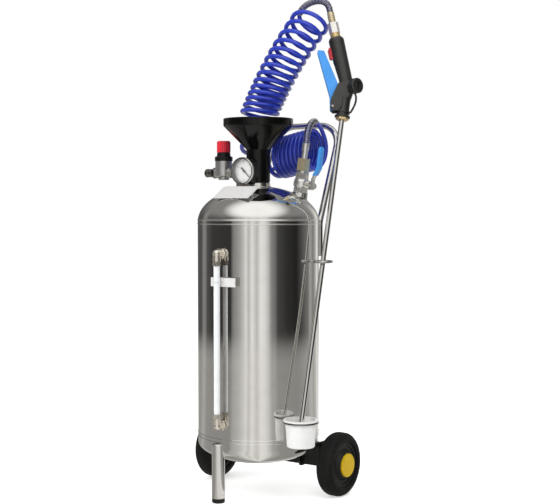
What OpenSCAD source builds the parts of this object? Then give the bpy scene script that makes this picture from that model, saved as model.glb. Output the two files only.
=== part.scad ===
// Wheeled stainless steel foam sprayer: pressure tank on two wheels and a leg,
// filling funnel, air regulator, pressure gauge, level tube, outlet valve,
// spiral hose, gun and lance. Millimetres, +Z up, floor at Z = 0, front at -Y.
// Every module places its sub-part from the tank's axis.

/* [Tank] */
// Outer diameter of the tank
tank_d = 240; // [236:1:244]
// Height of the lower weld seam above the floor
seam_low = 105; // [103:1:106]
// Height of the upper weld seam above the floor
seam_high = 540; // [536:1:542]
// Rise of the top head above its seam
head_rise = 70; // [66:1:72]
// Depth of the bottom head below its seam
head_drop = 41; // [38:1:42]
// Thickness of the steel sheet
sheet = 2; // [1.5:0.5:3]

/* [Trolley] */
// Diameter of each wheel
wheel_d = 125; // [122:1:126]
// Width of each tyre
tyre_w = 35; // [32:1:36]
// Distance from the tank's axis to the middle of each wheel
wheel_x = 150; // [149:1:154]
// Distance of the axle behind the tank's axis
axle_y = 62; // [58:1:66]
// Diameter of the axle
axle_d = 12; // [10:1:13]
// Diameter of the front leg
leg_d = 25; // [22:1:28]
// Distance of the leg in front of the tank's axis
leg_y = 117; // [115:1:118]
// Distance of the leg to the left of the tank's axis
leg_x = 11; // [8:1:14]

/* [Handle] */
// Diameter of the handle's tube
handle_d = 12.6; // [11:0.2:14]
// Half of the distance between the handle's two sides
handle_x = 81; // [78:1:84]
// Height of the handle's lower ends
handle_low = 470; // [440:1:490]
// Lean of the handle towards the back in degrees
handle_lean = 22; // [20:1:24]
// Length of the leaning sides up to the middle of the bar
handle_len = 207; // [204:1:210]
// Radius of the two bends beside the bar
handle_bend = 50; // [44:1:56]

/* [Funnel] */
// Diameter of the funnel's rim
funnel_d = 138; // [130:1:140]
// Height of the funnel's rim above the floor
funnel_top = 743; // [738:1:745]
// Height of the straight band under the rim
funnel_band = 16; // [12:1:20]
// Diameter of the funnel's stem
stem_d = 47; // [44:1:47]
// Height where the stem stands on the filler neck
neck_top = 618; // [617:1:620]

/* [Instruments] */
// Diameter of the gauge's bezel
gauge_d = 54; // [50:1:55]
// Distance of the regulator's axis from the tank's axis
regulator_x = 86; // [84:1:90]
// Diameter of the regulator's body
regulator_d = 34; // [32:1:35]
// Diameter of the regulator's red knob
knob_d = 27.6; // [25:0.2:30]
// Diameter of the level tube
level_d = 12; // [10:1:12]
// Distance of the level tube in front of the tank's axis
level_y = 135; // [134:1:138]
// Height of the upper level elbow
level_high = 481; // [470:1:490]
// Height of the lower level elbow
level_low = 152; // [150:1:160]

/* [Outlet valve] */
// Place of the valve to the right of the tank's axis
valve_x = 68; // [66:1:70]
// Place of the valve behind the tank's axis
valve_y = 48; // [46:1:49]
// Lean of the valve to the right in degrees
valve_lean = 8; // [6:0.5:9]
// Height of the middle of the ball
ball_z = 614; // [613:1:615]
// Diameter of the ball
ball_d = 21; // [20:0.5:22]

/* [Lance] */
// Outer diameter of the lance's tube
lance_d = 10; // [9:0.5:10]
// Length of the lance below the gun
lance_len = 620; // [600:1:624]
// Lean of the lance in degrees
lance_tilt = 14.4; // [14:0.1:15]
// Compass direction of that lean in degrees
lance_az = 91.5; // [90:0.5:93]
// Turn of the gun about the lance in degrees
gun_roll = 122.7; // [120:0.1:125]

/* [Cup] */
// Diameter of the drip cup's rim
cup_d = 67; // [64:1:68]
// Height of the drip cup
cup_h = 52; // [48:1:53]
// Height of the drip cup's rim above the floor
cup_top = 170; // [168:1:172]

/* [Hose] */
// Outer diameter of the hose
hose_d = 9; // [8:0.5:9]
// Outer diameter of the relaxed coil
coil_d = 88; // [84:1:88]
// Outer diameter of the stretched coil
coil_stretched_d = 80; // [76:1:82]
// Wire thickness of the two spring guards
guard_wire = 1.5; // [1.2:0.1:1.6]
// Number of curls of the spring guard at the valve
valve_guard_curls = 18; // [10:1:18]
// Number of curls of the spring guard at the gun
gun_guard_curls = 25; // [16:1:25]

/* [Hidden] */
$fn = 64;

// Place of the tank's axis, so that the origin is under the middle of the whole trolley
tank_x = -4;
tank_y = -20;

steel = [0.80, 0.80, 0.80];
nickel = [0.72, 0.68, 0.60];
brass = [0.80, 0.65, 0.35];
black = [0.08, 0.08, 0.08];
white = [0.95, 0.95, 0.95];
red = [0.80, 0.10, 0.16];
sky_blue = [0.24, 0.60, 0.90];
hose_blue = [0.12, 0.18, 0.62];
yellow = [0.86, 0.70, 0.10];

tank_r = tank_d / 2;
wheel_r = wheel_d / 2;
// Clearance between pieces that slide on each other
running = 0.05;
// Clearance between pieces that only pass each other
free_gap = 0.4;

// Height of the top head's outer face at distance r from the axis
function head_z(r) = seam_high + head_rise * sqrt(1 - pow(r / tank_r, 2));

module at_tank() {
    translate([tank_x, tank_y, 0]) children();
}

// A cylinder from point p to point q
module rod(p, q, d) {
    v = q - p;
    turn = atan2(v[1], v[0]);
    lean = atan2(norm([v[0], v[1]]), v[2]);
    translate(p) rotate([0, lean, turn]) cylinder(d = d, h = norm(v));
}

// A six-sided prism across_flats wide
module hex(across_flats, h) {
    cylinder(d = across_flats / cos(30), h = h, $fn = 6);
}

module pipe(outer_d, inner_d, h) {
    difference() {
        cylinder(d = outer_d, h = h);
        translate([0, 0, -1]) cylinder(d = inner_d, h = h + 2);
    }
}

// A wire ring lying flat
module wire_ring(mean_r, wire_d) {
    rotate_extrude() translate([mean_r, 0]) circle(d = wire_d, $fn = 32);
}

function clamp_at(list, i) = list[max(0, min(len(list) - 1, i))];

// Slope of a smooth line at its point i; each point is reached at its own knot
function slope(list, knots, i) =
    (clamp_at(list, i + 1) - clamp_at(list, i - 1)) / (clamp_at(knots, i + 1) - clamp_at(knots, i - 1));

// Point of the smooth line at t
function smooth(list, knots, t) =
    let (
        i = max([for (k = [0 : len(knots) - 2]) if (knots[k] <= t || k == 0) k]),
        h = knots[i + 1] - knots[i],
        u = (t - knots[i]) / h,
        v = 1 - u
    )
    v * v * (1 + 2 * u) * list[i] + v * v * u * h * slope(list, knots, i)
        + u * u * (1 + 2 * v) * list[i + 1] - u * u * v * h * slope(list, knots, i + 1);

// Length along a line of points up to each of them
function lengths(line) =
    [for (i = 0, s = 0; i < len(line); s = s + norm(clamp_at(line, i + 1) - line[i]), i = i + 1) s];

function bezier(p, t) =
    pow(1 - t, 3) * p[0] + 3 * t * pow(1 - t, 2) * p[1] + 3 * t * t * (1 - t) * p[2] + pow(t, 3) * p[3];

function unit(v) = v / norm(v);

// The part of v that stands square to w
function square_to(v, w) = unit(v - (v * w) * w);

// Direction of a line of points at point i
function heading(points, i) = unit(clamp_at(points, i + 1) - clamp_at(points, i - 1));

// Least distance between points of a line that are not near neighbours, less the tube's diameter
function least_gap(points, d) =
    let (apart = 4)
    min([
        for (i = [0 : len(points) - 1 - apart], j = [i + apart : len(points) - 1])
            norm(points[i] - points[j])
    ]) - d;

// A closed tube of radius r along a line of points, each with a reference direction beside it
module sweep(points, refs, r, sides) {
    last = len(points) - 1;
    rings = [
        for (i = [0 : last])
            let (w = heading(points, i), n = square_to(refs[i], w), b = cross(w, n))
            for (k = [0 : sides - 1])
                points[i] + r * (n * cos(360 * k / sides) + b * sin(360 * k / sides))
    ];
    walls = [
        for (i = [0 : last - 1], k = [0 : sides - 1])
            let (p = i * sides + k, q = i * sides + (k + 1) % sides)
            each [[p, p + sides, q], [q, p + sides, q + sides]]
    ];
    caps = [
        for (k = [1 : sides - 2])
            each [[0, k, k + 1], [last * sides, last * sides + k + 1, last * sides + k]]
    ];
    polyhedron(points = rings, faces = concat(walls, caps));
}

// Half outline of an elliptical head, its seam at zero, with thickness cut from the inside
module head_outline(r, rise, inset) {
    angles = [0 : 5 : 90];
    polygon(concat(
        [[0, -inset]],
        [[r - inset, -inset]],
        [for (a = angles) [(r - inset) * cos(a), (rise - inset) * sin(a)]]
    ));
}

// The whole of the tank's outside, as a solid that fittings are cut to
module tank_outside() {
    translate([0, 0, seam_low]) cylinder(r = tank_r, h = seam_high - seam_low);
    translate([0, 0, seam_high]) rotate_extrude() head_outline(tank_r, head_rise, 0);
    translate([0, 0, seam_low]) mirror([0, 0, 1]) rotate_extrude() head_outline(tank_r, head_drop, 0);
}

// A pressed head: hollow, its seam at zero
module pressed_head(rise) {
    rotate_extrude() difference() {
        head_outline(tank_r, rise, 0);
        head_outline(tank_r, rise, sheet);
        translate([-1, -sheet - 1]) square([tank_r - sheet + 1, sheet + 1]);
    }
}

// Distance of the rolled beads from the upper seam
bead_gap = 3.5;

// Half round bead rolled out of the sheet at height z
module bead_outline(z) {
    bead_d = 2.6;
    translate([tank_r - 0.6, z]) circle(d = bead_d, $fn = 24);
}

// Tank
module tank_shell() at_tank() color(steel) {
    low_beads = [12, 19];
    difference() {
        rotate_extrude() {
            translate([tank_r - sheet, seam_low]) square([sheet, seam_high - seam_low]);
            bead_outline(seam_high - bead_gap);
            for (rise = low_beads) {
                bead_outline(seam_low + rise);
            }
        }
        for (z = [level_low, level_high]) {
            translate([0, -tank_r + sheet + 2, z]) rotate([90, 0, 0])
                cylinder(d = level_d - 4, h = sheet + 6);
        }
    }
}

module top_head() at_tank() color(steel) {
    hole_h = head_rise + 5;
    difference() {
        union() {
            translate([0, 0, seam_high]) pressed_head(head_rise);
            rotate_extrude() bead_outline(seam_high + bead_gap);
        }
        translate([0, 0, seam_high]) cylinder(d = spigot_d + 2, h = hole_h);
        on_valve() translate([0, 0, seam_high]) cylinder(d = outlet_bore + 2, h = hole_h);
        translate([gauge_x, gauge_y, seam_high]) cylinder(d = 5, h = hole_h);
        translate([elbow_x, 0, seam_high]) cylinder(d = air_bore, h = hole_h);
    }
}

module bottom_head() at_tank() color(steel) {
    translate([0, 0, seam_low]) mirror([0, 0, 1]) pressed_head(head_drop);
}

// Leg and axle
foot_h = 9;

module leg_tube() at_tank() color(steel) {
    leg_top = seam_low + 7;
    difference() {
        translate([-leg_x, -leg_y, foot_h]) pipe(leg_d, leg_d - 4, leg_top - foot_h);
        tank_outside();
    }
}

module leg_foot() at_tank() color(black) {
    plug_h = 16;
    foot_r = leg_d / 2;
    translate([-leg_x, -leg_y, 0]) rotate_extrude() polygon([
        [0, 0], [foot_r - 1.5, 0], [foot_r, 1.5], [foot_r, foot_h],
        [foot_r - 2.2, foot_h], [foot_r - 2.2, foot_h + plug_h], [0, foot_h + plug_h]
    ]);
}

bracket_x = 118;
bracket_tube_d = 20;

// Lug that reaches from the axle up to the tank
module axle_lug(x, thick, top) {
    translate([x - thick / 2, 0, 0]) rotate([90, 0, 90]) linear_extrude(thick) polygon([
        [axle_y - 16, wheel_r - 10], [axle_y + 16, wheel_r - 10], [axle_y + 22, wheel_r],
        [axle_y + 14, top], [axle_y - 22, top], [axle_y - 22, wheel_r]
    ]);
}

module axle_bracket() at_tank() color(black) {
    difference() {
        union() {
            translate([-bracket_x, axle_y, wheel_r]) rotate([0, 90, 0])
                cylinder(d = bracket_tube_d, h = 2 * bracket_x);
            for (side = [-1, 1]) {
                axle_lug(side * (bracket_x - 3), 6, 104);
                axle_lug(side * 70, 5, 110);
            }
            translate([-bracket_x, axle_y - 13, wheel_r - 6.5]) cube([2 * bracket_x, 5, 48]);
        }
        tank_outside();
        translate([-bracket_x - 1, axle_y, wheel_r]) rotate([0, 90, 0])
            cylinder(d = axle_d + 2 * running, h = 2 * bracket_x + 2);
    }
}

axle_half = wheel_x + tyre_w / 2 + 2;

module axle() at_tank() color(steel) {
    translate([-axle_half, axle_y, wheel_r]) rotate([0, 90, 0]) cylinder(d = axle_d, h = 2 * axle_half);
}

hub_w = tyre_w + 2;
spacer_gap = 0.4;

module wheel_spacers() at_tank() color(black) {
    for (side = [-1, 1]) {
        spacer_w = wheel_x - hub_w / 2 - bracket_x - spacer_gap;
        translate([side * (bracket_x + spacer_w / 2), axle_y, wheel_r]) rotate([0, 90, 0])
            translate([0, 0, -spacer_w / 2]) pipe(28, axle_d + 2 * running, spacer_w);
    }
}

// Wheels: local +Z is the outside of the wheel, its middle at zero
module at_wheel(side) {
    at_tank() translate([side * wheel_x, axle_y, wheel_r]) rotate([0, side * 90, 0]) children();
}

rim_r = 44;
// Face of the rim's boss, which carries the hub cap
boss_r = 24;
boss_z = tyre_w / 2 + 1.5;

module tyre_solid() {
    round_r = 12;
    half_w = tyre_w / 2;
    rotate_extrude() difference() {
        union() {
            translate([rim_r, -half_w + 3]) square([wheel_r - rim_r - round_r, tyre_w - 6]);
            translate([rim_r, -half_w + round_r]) square([wheel_r - rim_r, tyre_w - 2 * round_r]);
            for (s = [-1, 1]) {
                translate([wheel_r - round_r, s * (half_w - round_r)]) circle(r = round_r, $fn = 48);
            }
        }
        translate([rim_r - 20, -half_w]) square([20, tyre_w]);
        for (s = [-1, 1]) {
            translate([rim_r + 4, s * (half_w - 2.5)]) circle(d = 2.5, $fn = 24);
        }
    }
}

module rim_solid() {
    half_w = tyre_w / 2;
    hub_r = 16;
    dish_t = 6;
    dish_z = half_w - 12;
    boss_wide_r = 31;
    ribs = 8;
    rib_t = 3;
    difference() {
        union() {
            rotate_extrude() {
                translate([axle_d / 2, -hub_w / 2]) square([hub_r - axle_d / 2, hub_w]);
                translate([hub_r - 1, dish_z]) square([rim_r - hub_r, dish_t]);
                translate([rim_r - 6, -half_w + 4]) square([6, tyre_w - 8]);
                polygon([
                    [hub_r - 1, dish_z + 1], [boss_wide_r, dish_z + 1], [boss_wide_r, dish_z + dish_t],
                    [boss_r, boss_z], [hub_r - 1, boss_z]
                ]);
            }
            for (k = [0 : ribs - 1]) {
                rotate([0, 0, 360 / ribs * k]) translate([hub_r - 1, -rib_t / 2, -half_w + 6])
                    cube([rim_r - hub_r - 4, rib_t, dish_z + half_w - 5]);
            }
        }
        translate([0, 0, -hub_w]) cylinder(d = axle_d + 2 * running, h = 2 * hub_w);
    }
}

// Flat cap on the boss, hollow over the end of the axle
module hub_cap_solid() {
    cap_r = boss_r - 1;
    cap_h = 4.2;
    hollow_r = 13;
    hollow_h = 2;
    translate([0, 0, boss_z]) rotate_extrude() polygon([
        [0, hollow_h], [hollow_r, hollow_h], [hollow_r, 0], [cap_r, 0], [cap_r, cap_h - 1.2],
        [cap_r - 1.2, cap_h], [0, cap_h]
    ]);
}

module left_tyre() at_wheel(-1) color(black) tyre_solid();
module left_rim() at_wheel(-1) color([0.12, 0.12, 0.12]) rim_solid();
module left_hub_cap() at_wheel(-1) color(yellow) hub_cap_solid();
module right_tyre() at_wheel(1) color(black) tyre_solid();
module right_rim() at_wheel(1) color([0.12, 0.12, 0.12]) rim_solid();
module right_hub_cap() at_wheel(1) color(yellow) hub_cap_solid();

// Handle: two straight ends on weld lugs at the tank's back, a bend in two steps, and a leaning U
lug_gap = 1.4;
handle_y = sqrt(pow(tank_r + handle_d / 2 + lug_gap, 2) - pow(handle_x, 2));
knee_r = 40;
knee_step = knee_r * tan(handle_lean / 4);
knee_low = [handle_x, handle_y, 530 + knee_step];
knee_high = knee_low + 2 * knee_step * [0, sin(handle_lean / 2), cos(handle_lean / 2)];
knee_ball_d = handle_d + 0.4;

// One side of the handle up to its bend
module handle_side() {
    lug_w = 8;
    lug_h = 14;
    rod([handle_x, handle_y, handle_low], knee_low, handle_d);
    translate(knee_low) sphere(d = knee_ball_d);
    rod(knee_low, knee_high, handle_d);
    translate(knee_high) sphere(d = knee_ball_d);
    difference() {
        for (z = [handle_low + 8, handle_low + 34]) {
            rotate([0, 0, atan2(handle_y, handle_x)]) translate([tank_r - 3, -lug_w / 2, z])
                cube([handle_d / 2 + 5, lug_w, lug_h]);
        }
        tank_outside();
    }
}

// Frame of the leaning U: its sides start at zero and run up local Z
module at_handle_lean() {
    translate([0, knee_high[1], knee_high[2]]) rotate([-handle_lean, 0, 0]) children();
}

module handle_frame() at_tank() color(steel) {
    bar_z = handle_len + knee_step;
    side_len = bar_z - handle_bend;
    handle_side();
    mirror([1, 0, 0]) handle_side();
    at_handle_lean() {
        for (side = [-1, 1]) {
            translate([side * handle_x, 0, 0]) cylinder(d = handle_d, h = side_len);
        }
        for (side = [0, 1]) {
            mirror([side, 0, 0]) translate([handle_x - handle_bend, 0, side_len]) rotate([90, 0, 0])
                rotate_extrude(angle = 90) translate([handle_bend, 0]) circle(d = handle_d);
        }
        rod([-handle_x + handle_bend, 0, bar_z], [handle_x - handle_bend, 0, bar_z], handle_d);
    }
}

// Filler neck and funnel
neck_d = 48;
spigot_d = 25;
seal_h = 2;

module filler_neck() at_tank() color(steel) {
    difference() {
        translate([0, 0, seam_high + 40]) cylinder(d = neck_d, h = neck_top - seal_h - seam_high - 40);
        tank_outside();
        translate([0, 0, seam_high]) cylinder(d = spigot_d + 1, h = head_rise + 40);
    }
}

module neck_seal() at_tank() color(black) {
    translate([0, 0, neck_top - seal_h]) pipe(neck_d - 4, spigot_d + 1, seal_h);
}

module funnel() at_tank() color(black) {
    wall = 2.5;
    rim_r_out = funnel_d / 2;
    band_z = funnel_top - funnel_band;
    cone_z = 682;
    stem_r = stem_d / 2;
    spigot_r = spigot_d / 2;
    spigot_z = 600;
    bore_r = 9;
    rotate_extrude() polygon([
        [bore_r, spigot_z], [spigot_r, spigot_z], [spigot_r, neck_top], [stem_r, neck_top],
        [stem_r, cone_z], [rim_r_out - 1.5, band_z], [rim_r_out, band_z + 2], [rim_r_out, funnel_top - 1],
        [rim_r_out - 1, funnel_top], [rim_r_out - wall, funnel_top], [rim_r_out - wall - 1.5, band_z + 2],
        [stem_r - wall, cone_z + 1], [stem_r - wall, neck_top + 8], [bore_r, neck_top + 4]
    ]);
}

// Bare plate that lies on the front of the top head, on two studs
plate_w = 84;
plate_l = 44;
plate_y = 73;
plate_lean = 31;

module at_plate() {
    at_tank() translate([0, -plate_y, head_z(plate_y) + 1.6]) rotate([plate_lean, 0, 0]) children();
}

module nameplate() color(white) {
    corner = 4;
    stud_x = plate_w / 2 - 6;
    at_plate() linear_extrude(1.2) {
        square([plate_w - 2 * corner, plate_l], center = true);
        square([plate_w, plate_l - 2 * corner], center = true);
        for (sx = [-1, 1], sy = [-1, 1]) {
            translate([sx * (plate_w / 2 - corner), sy * (plate_l / 2 - corner)])
                circle(r = corner, $fn = 32);
        }
    }
    difference() {
        at_plate() for (sx = [-1, 1]) {
            translate([sx * stud_x, 0, -16]) cylinder(d = 4, h = 17);
            translate([sx * stud_x, 0, 0.6]) cylinder(d = 6, h = 1.8);
        }
        at_tank() tank_outside();
    }
}

// Pressure gauge: faces the front, its stub stands on the top head
gauge_x = -1.5;
gauge_y = -39;
gauge_face = -54;
gauge_z = 639;
gauge_r = gauge_d / 2;
case_r = gauge_r - 1.5;
case_back = -26;
case_depth = case_back - gauge_face - 2;
dial_y = -43;

// Local +Z points out of the dial
module at_gauge(y) {
    at_tank() translate([gauge_x, y, gauge_z]) rotate([90, 0, 0]) children();
}

module gauge_stub() at_tank() color(nickel) {
    difference() {
        union() {
            translate([gauge_x, gauge_y, seam_high + 50])
                cylinder(d = 10, h = gauge_z - seam_high - 50 - case_r + 4);
            translate([gauge_x, gauge_y, head_z(norm([gauge_x, gauge_y])) + 1]) hex(12, 5.5);
        }
        tank_outside();
        translate([gauge_x, gauge_face, gauge_z]) rotate([-90, 0, 0]) cylinder(r = case_r, h = 60);
        translate([gauge_x, gauge_y, seam_high]) cylinder(d = 4, h = 120);
    }
}

module gauge_case() color(black) difference() {
    at_gauge(case_back) rotate_extrude() polygon([
        [0, 0], [case_r - 3, 0], [case_r, 3], [case_r, case_depth], [0, case_depth]
    ]);
    at_gauge(dial_y + 1.5) cylinder(r = case_r - 2, h = 20);
    at_gauge(dial_y + 8) cylinder(d = 2 + 2 * running, h = 20);
}

module gauge_bezel() color(steel) {
    ring_h = 4.5;
    lip_r = case_r - 2;
    at_gauge(gauge_face + ring_h) rotate_extrude() polygon([
        [case_r + running, 0], [gauge_r, 0], [gauge_r, ring_h - 1.5], [gauge_r - 1.5, ring_h],
        [lip_r, ring_h], [lip_r, ring_h - 1], [case_r + running, ring_h - 2]
    ]);
}

module gauge_dial() color(white) difference() {
    at_gauge(dial_y + 1.5) cylinder(r = case_r - 2.1, h = 1.5);
    at_gauge(dial_y + 8) cylinder(d = 2 + 2 * running, h = 20);
}

// The needle rests on its zero stop, at the lower right of the dial
needle_rest = -45;

module gauge_needle() color(black) {
    at_gauge(dial_y + 6) cylinder(d = 2, h = 9);
    at_gauge(dial_y - 2) rotate([0, 0, needle_rest]) {
        linear_extrude(0.8) polygon([[-8, -1.5], [0, -1.2], [18, -0.6], [18, 0.6], [0, 1.2], [-8, 1.5]]);
        translate([-8, 0, 0]) cylinder(d = 4.2, h = 0.8);
        cylinder(d = 5, h = 1.6);
    }
}

module gauge_lens() color([0.8, 0.9, 0.95, 0.4]) {
    at_gauge(gauge_face + 3.2) cylinder(r = case_r - 2.1, h = 1.6);
}

// Air regulator on its elbow
elbow_x = -40;
port_z = 637;
elbow_d = 17;
air_bore = 9;

module regulator_elbow() at_tank() color(nickel) {
    difference() {
        union() {
            rod([-regulator_x + regulator_d / 2 + 4, 0, port_z], [elbow_x, 0, port_z], elbow_d);
            translate([elbow_x, 0, port_z]) sphere(d = elbow_d);
            translate([elbow_x, 0, seam_high + 40]) cylinder(d = elbow_d, h = port_z - seam_high - 40);
            translate([elbow_x, 0, head_z(-elbow_x) + 2]) hex(22, 8);
        }
        tank_outside();
        translate([elbow_x, 0, seam_high]) cylinder(d = air_bore, h = port_z - seam_high);
        rod([-regulator_x, 0, port_z], [elbow_x, 0, port_z], air_bore);
    }
}

bonnet_low = 661;
bonnet_top = 678;

module regulator_body() at_tank() color(nickel) {
    body_r = regulator_d / 2;
    plug_r = 11;
    plug_z = 623;
    body_z = 629;
    translate([-regulator_x, 0, 0]) difference() {
        union() {
            rotate_extrude() polygon([
                [0, plug_z], [plug_r - 1, plug_z], [plug_r, plug_z + 1], [plug_r, body_z],
                [body_r - 2, body_z], [body_r, body_z + 2], [body_r, bonnet_low], [0, bonnet_low]
            ]);
            rod([-body_r - 1, 0, port_z], [body_r + 4, 0, port_z], 21);
        }
        rod([-body_r - 5, 0, port_z], [body_r + 5, 0, port_z], air_bore);
    }
}

// Radius and length of the screw that the knob turns on
screw_r = 4;
screw_l = 12;

module regulator_bonnet() at_tank() color(black) {
    ring_r = 18;
    notches = 12;
    translate([-regulator_x, 0, 0]) difference() {
        rotate_extrude() polygon([
            [0, bonnet_low], [ring_r, bonnet_low], [ring_r, bonnet_low + 8], [ring_r - 4, bonnet_low + 10],
            [ring_r - 5, bonnet_top], [screw_r, bonnet_top], [screw_r, bonnet_top + screw_l],
            [0, bonnet_top + screw_l]
        ]);
        for (k = [0 : notches - 1]) {
            rotate([0, 0, 360 / notches * k]) translate([ring_r + 0.6, 0, bonnet_low - 1])
                cylinder(d = 3, h = 10, $fn = 24);
        }
    }
}

module regulator_knob() at_tank() color(red) {
    knob_r = knob_d / 2;
    knob_h = 23;
    flutes = 18;
    bore_r = screw_r + running;
    bore_h = screw_l + 1;
    translate([-regulator_x, 0, bonnet_top + free_gap]) difference() {
        rotate_extrude() polygon([
            [bore_r, 0], [knob_r, 0], [knob_r, knob_h - 2.5], [knob_r - 2.5, knob_h],
            [0, knob_h], [0, bore_h], [bore_r, bore_h]
        ]);
        for (k = [0 : flutes - 1]) {
            rotate([0, 0, 360 / flutes * k]) translate([knob_r + 0.5, 0, -1])
                cylinder(d = 2.6, h = knob_h - 2, $fn = 24);
        }
    }
}

inlet_x = regulator_x + regulator_d / 2 + 1;

// Stepped plug for the socket of an air hose
module air_inlet() at_tank() color(nickel) {
    plug_r = 8.5;
    groove_r = 7.3;
    plug_l = 26;
    translate([-inlet_x, 0, port_z]) rotate([0, -90, 0]) difference() {
        union() {
            hex(19, 7);
            rotate_extrude() polygon([
                [0, 6], [groove_r, 6], [groove_r, 9], [plug_r, 10], [plug_r, 15], [groove_r, 16],
                [groove_r, 18], [plug_r, 19], [plug_r, plug_l - 1], [plug_r - 1, plug_l], [0, plug_l]
            ]);
        }
        translate([0, 0, -1]) cylinder(d = air_bore, h = plug_l + 2);
    }
}

// Level gauge: the upper elbow looks down, the lower one looks up
nut_h = 15;

// Elbow with its arm on the tank and its mouth up
module level_elbow(z) {
    arm_d = 15;
    difference() {
        union() {
            translate([0, -level_y, z]) rotate([-90, 0, 0]) cylinder(d = arm_d, h = level_y - tank_r + 6);
            translate([0, -level_y, z]) sphere(d = arm_d + 1);
            translate([0, -level_y, z]) cylinder(d = arm_d, h = 8);
            translate([0, -tank_r - 1, z]) rotate([90, 0, 0]) hex(19, 5);
        }
        tank_outside();
        translate([0, -level_y, z]) cylinder(d = level_d + 0.2, h = 20);
        translate([0, -level_y, z]) rotate([-90, 0, 0]) cylinder(d = level_d - 4, h = 40);
    }
}

module level_elbow_lower() at_tank() color(nickel) level_elbow(level_low);

module level_elbow_upper() at_tank() color(nickel) {
    translate([0, 0, 2 * level_high]) mirror([0, 0, 1]) level_elbow(level_high);
}

module level_nut() {
    grip_z = 6.5;
    difference() {
        union() {
            cylinder(d = 17.2, h = 4);
            cylinder(d = 14.8, h = nut_h);
            translate([0, 0, grip_z]) hex(15.4, nut_h - grip_z);
        }
        translate([0, 0, -1]) cylinder(d = level_d + 0.2, h = nut_h + 2);
    }
}

module level_nuts() at_tank() color(nickel) {
    translate([0, -level_y, level_low + 8]) level_nut();
    translate([0, -level_y, level_high - 8]) mirror([0, 0, 1]) level_nut();
}

module level_tube() at_tank() color(white) {
    translate([0, -level_y, level_low + 1]) pipe(level_d, level_d - 3, level_high - level_low - 2);
}

module level_tag() at_tank() color(white) {
    tag_z = 418.5;
    tag_h = 17;
    tag_t = 1;
    tag_left = -19;
    tag_l = 58;
    strap_h = 4;
    wrap_d = level_d + 0.2;
    translate([0, -level_y, tag_z]) {
        // The plate lies behind the tube, and its strap goes through two slots around the tube
        difference() {
            translate([tag_left, wrap_d / 2, 0]) cube([tag_l, tag_t, tag_h]);
            for (x = [-1, 1]) {
                translate([x * (wrap_d / 2 + tag_t + 1), wrap_d / 2 - 1, tag_h / 2]) {
                    rotate([-90, 0, 0]) cylinder(d = 2, h = tag_t + 2, $fn = 16);
                }
            }
        }
        translate([0, 0, (tag_h - strap_h) / 2]) pipe(wrap_d + 2 * tag_t, wrap_d, strap_h);
    }
}

// Outlet valve on the top head
boss_top = 598;
body_top = 647;
stem_x = 25;
outlet_bore = 13;

// The valve's own axis: heights count from the floor as they would without its lean
module on_valve() {
    translate([valve_x, valve_y, boss_top]) rotate([0, valve_lean, 0])
        translate([0, 0, -boss_top]) children();
}

module at_valve() {
    at_tank() on_valve() children();
}

module outlet_boss() color(steel) difference() {
    at_valve() translate([0, 0, seam_high + 20]) cylinder(d = 30, h = boss_top - seam_high - 20);
    at_tank() tank_outside();
    at_valve() translate([0, 0, seam_high]) cylinder(d = outlet_bore, h = 100);
}

module dip_tube() color(steel) {
    at_valve() translate([0, 0, 96]) pipe(outlet_bore - 0.4, 10, boss_top - 98);
}

module valve_body() at_valve() color(nickel) difference() {
    union() {
        translate([0, 0, boss_top]) hex(27, 9);
        rotate_extrude() polygon([
            [0, boss_top + 8], [12, boss_top + 8], [15, boss_top + 12], [15.5, ball_z], [15, ball_z + 7],
            [12.5, ball_z + 12], [0, ball_z + 12]
        ]);
        translate([0, 0, ball_z + 11]) hex(25, 12);
        translate([0, 0, ball_z + 22]) cylinder(d = 19, h = body_top - ball_z - 22);
        rod([0, 0, ball_z], [stem_x - 3, 0, ball_z], 17);
    }
    translate([0, 0, boss_top - 1]) cylinder(d = outlet_bore, h = 80);
    translate([0, 0, ball_z]) sphere(d = ball_d + 2 * free_gap);
    rod([0, 0, ball_z], [stem_x + 10, 0, ball_z], 8 + 2 * running);
}

module valve_ball() at_valve() color(steel) difference() {
    union() {
        translate([0, 0, ball_z]) sphere(d = ball_d);
        rod([0, 0, ball_z], [stem_x, 0, ball_z], 8);
        rod([0, 0, ball_z], [stem_x + 9, 0, ball_z], 6);
    }
    translate([0, 0, ball_z - ball_d]) cylinder(d = outlet_bore, h = 2 * ball_d);
}

lever_w = 10;
lever_t = 3;
lever_top = ball_z + 77;
lever_out = stem_x + 11;

module lever_outline(grow) {
    polygon([
        [stem_x - grow, ball_z - 8], [stem_x + lever_t + grow, ball_z - 8],
        [stem_x + lever_t + grow, ball_z + 13], [lever_out + lever_t + grow, ball_z + 36],
        [lever_out + lever_t + grow, lever_top + grow],
        [lever_out - grow, lever_top + grow], [lever_out - grow, ball_z + 37], [stem_x - grow, ball_z + 14]
    ]);
}

// Flat bar with a rounded end
module lever_bar() {
    round_z = lever_top - lever_w / 2;
    intersection() {
        translate([0, lever_w / 2, 0]) rotate([90, 0, 0]) linear_extrude(lever_w) lever_outline(0);
        union() {
            translate([0, -lever_w / 2, 0]) cube([80, lever_w, round_z]);
            translate([0, 0, round_z]) rotate([0, 90, 0]) cylinder(d = lever_w, h = 80);
        }
    }
}

module valve_lever() at_valve() color(steel) difference() {
    lever_bar();
    rod([stem_x - 1, 0, ball_z], [stem_x + lever_t + 1, 0, ball_z], 6);
}

module lever_nut() at_valve() color(nickel) difference() {
    translate([stem_x + lever_t, 0, ball_z]) rotate([0, 90, 0]) hex(10, 5);
    rod([stem_x, 0, ball_z], [stem_x + 12, 0, ball_z], 6);
}

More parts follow.
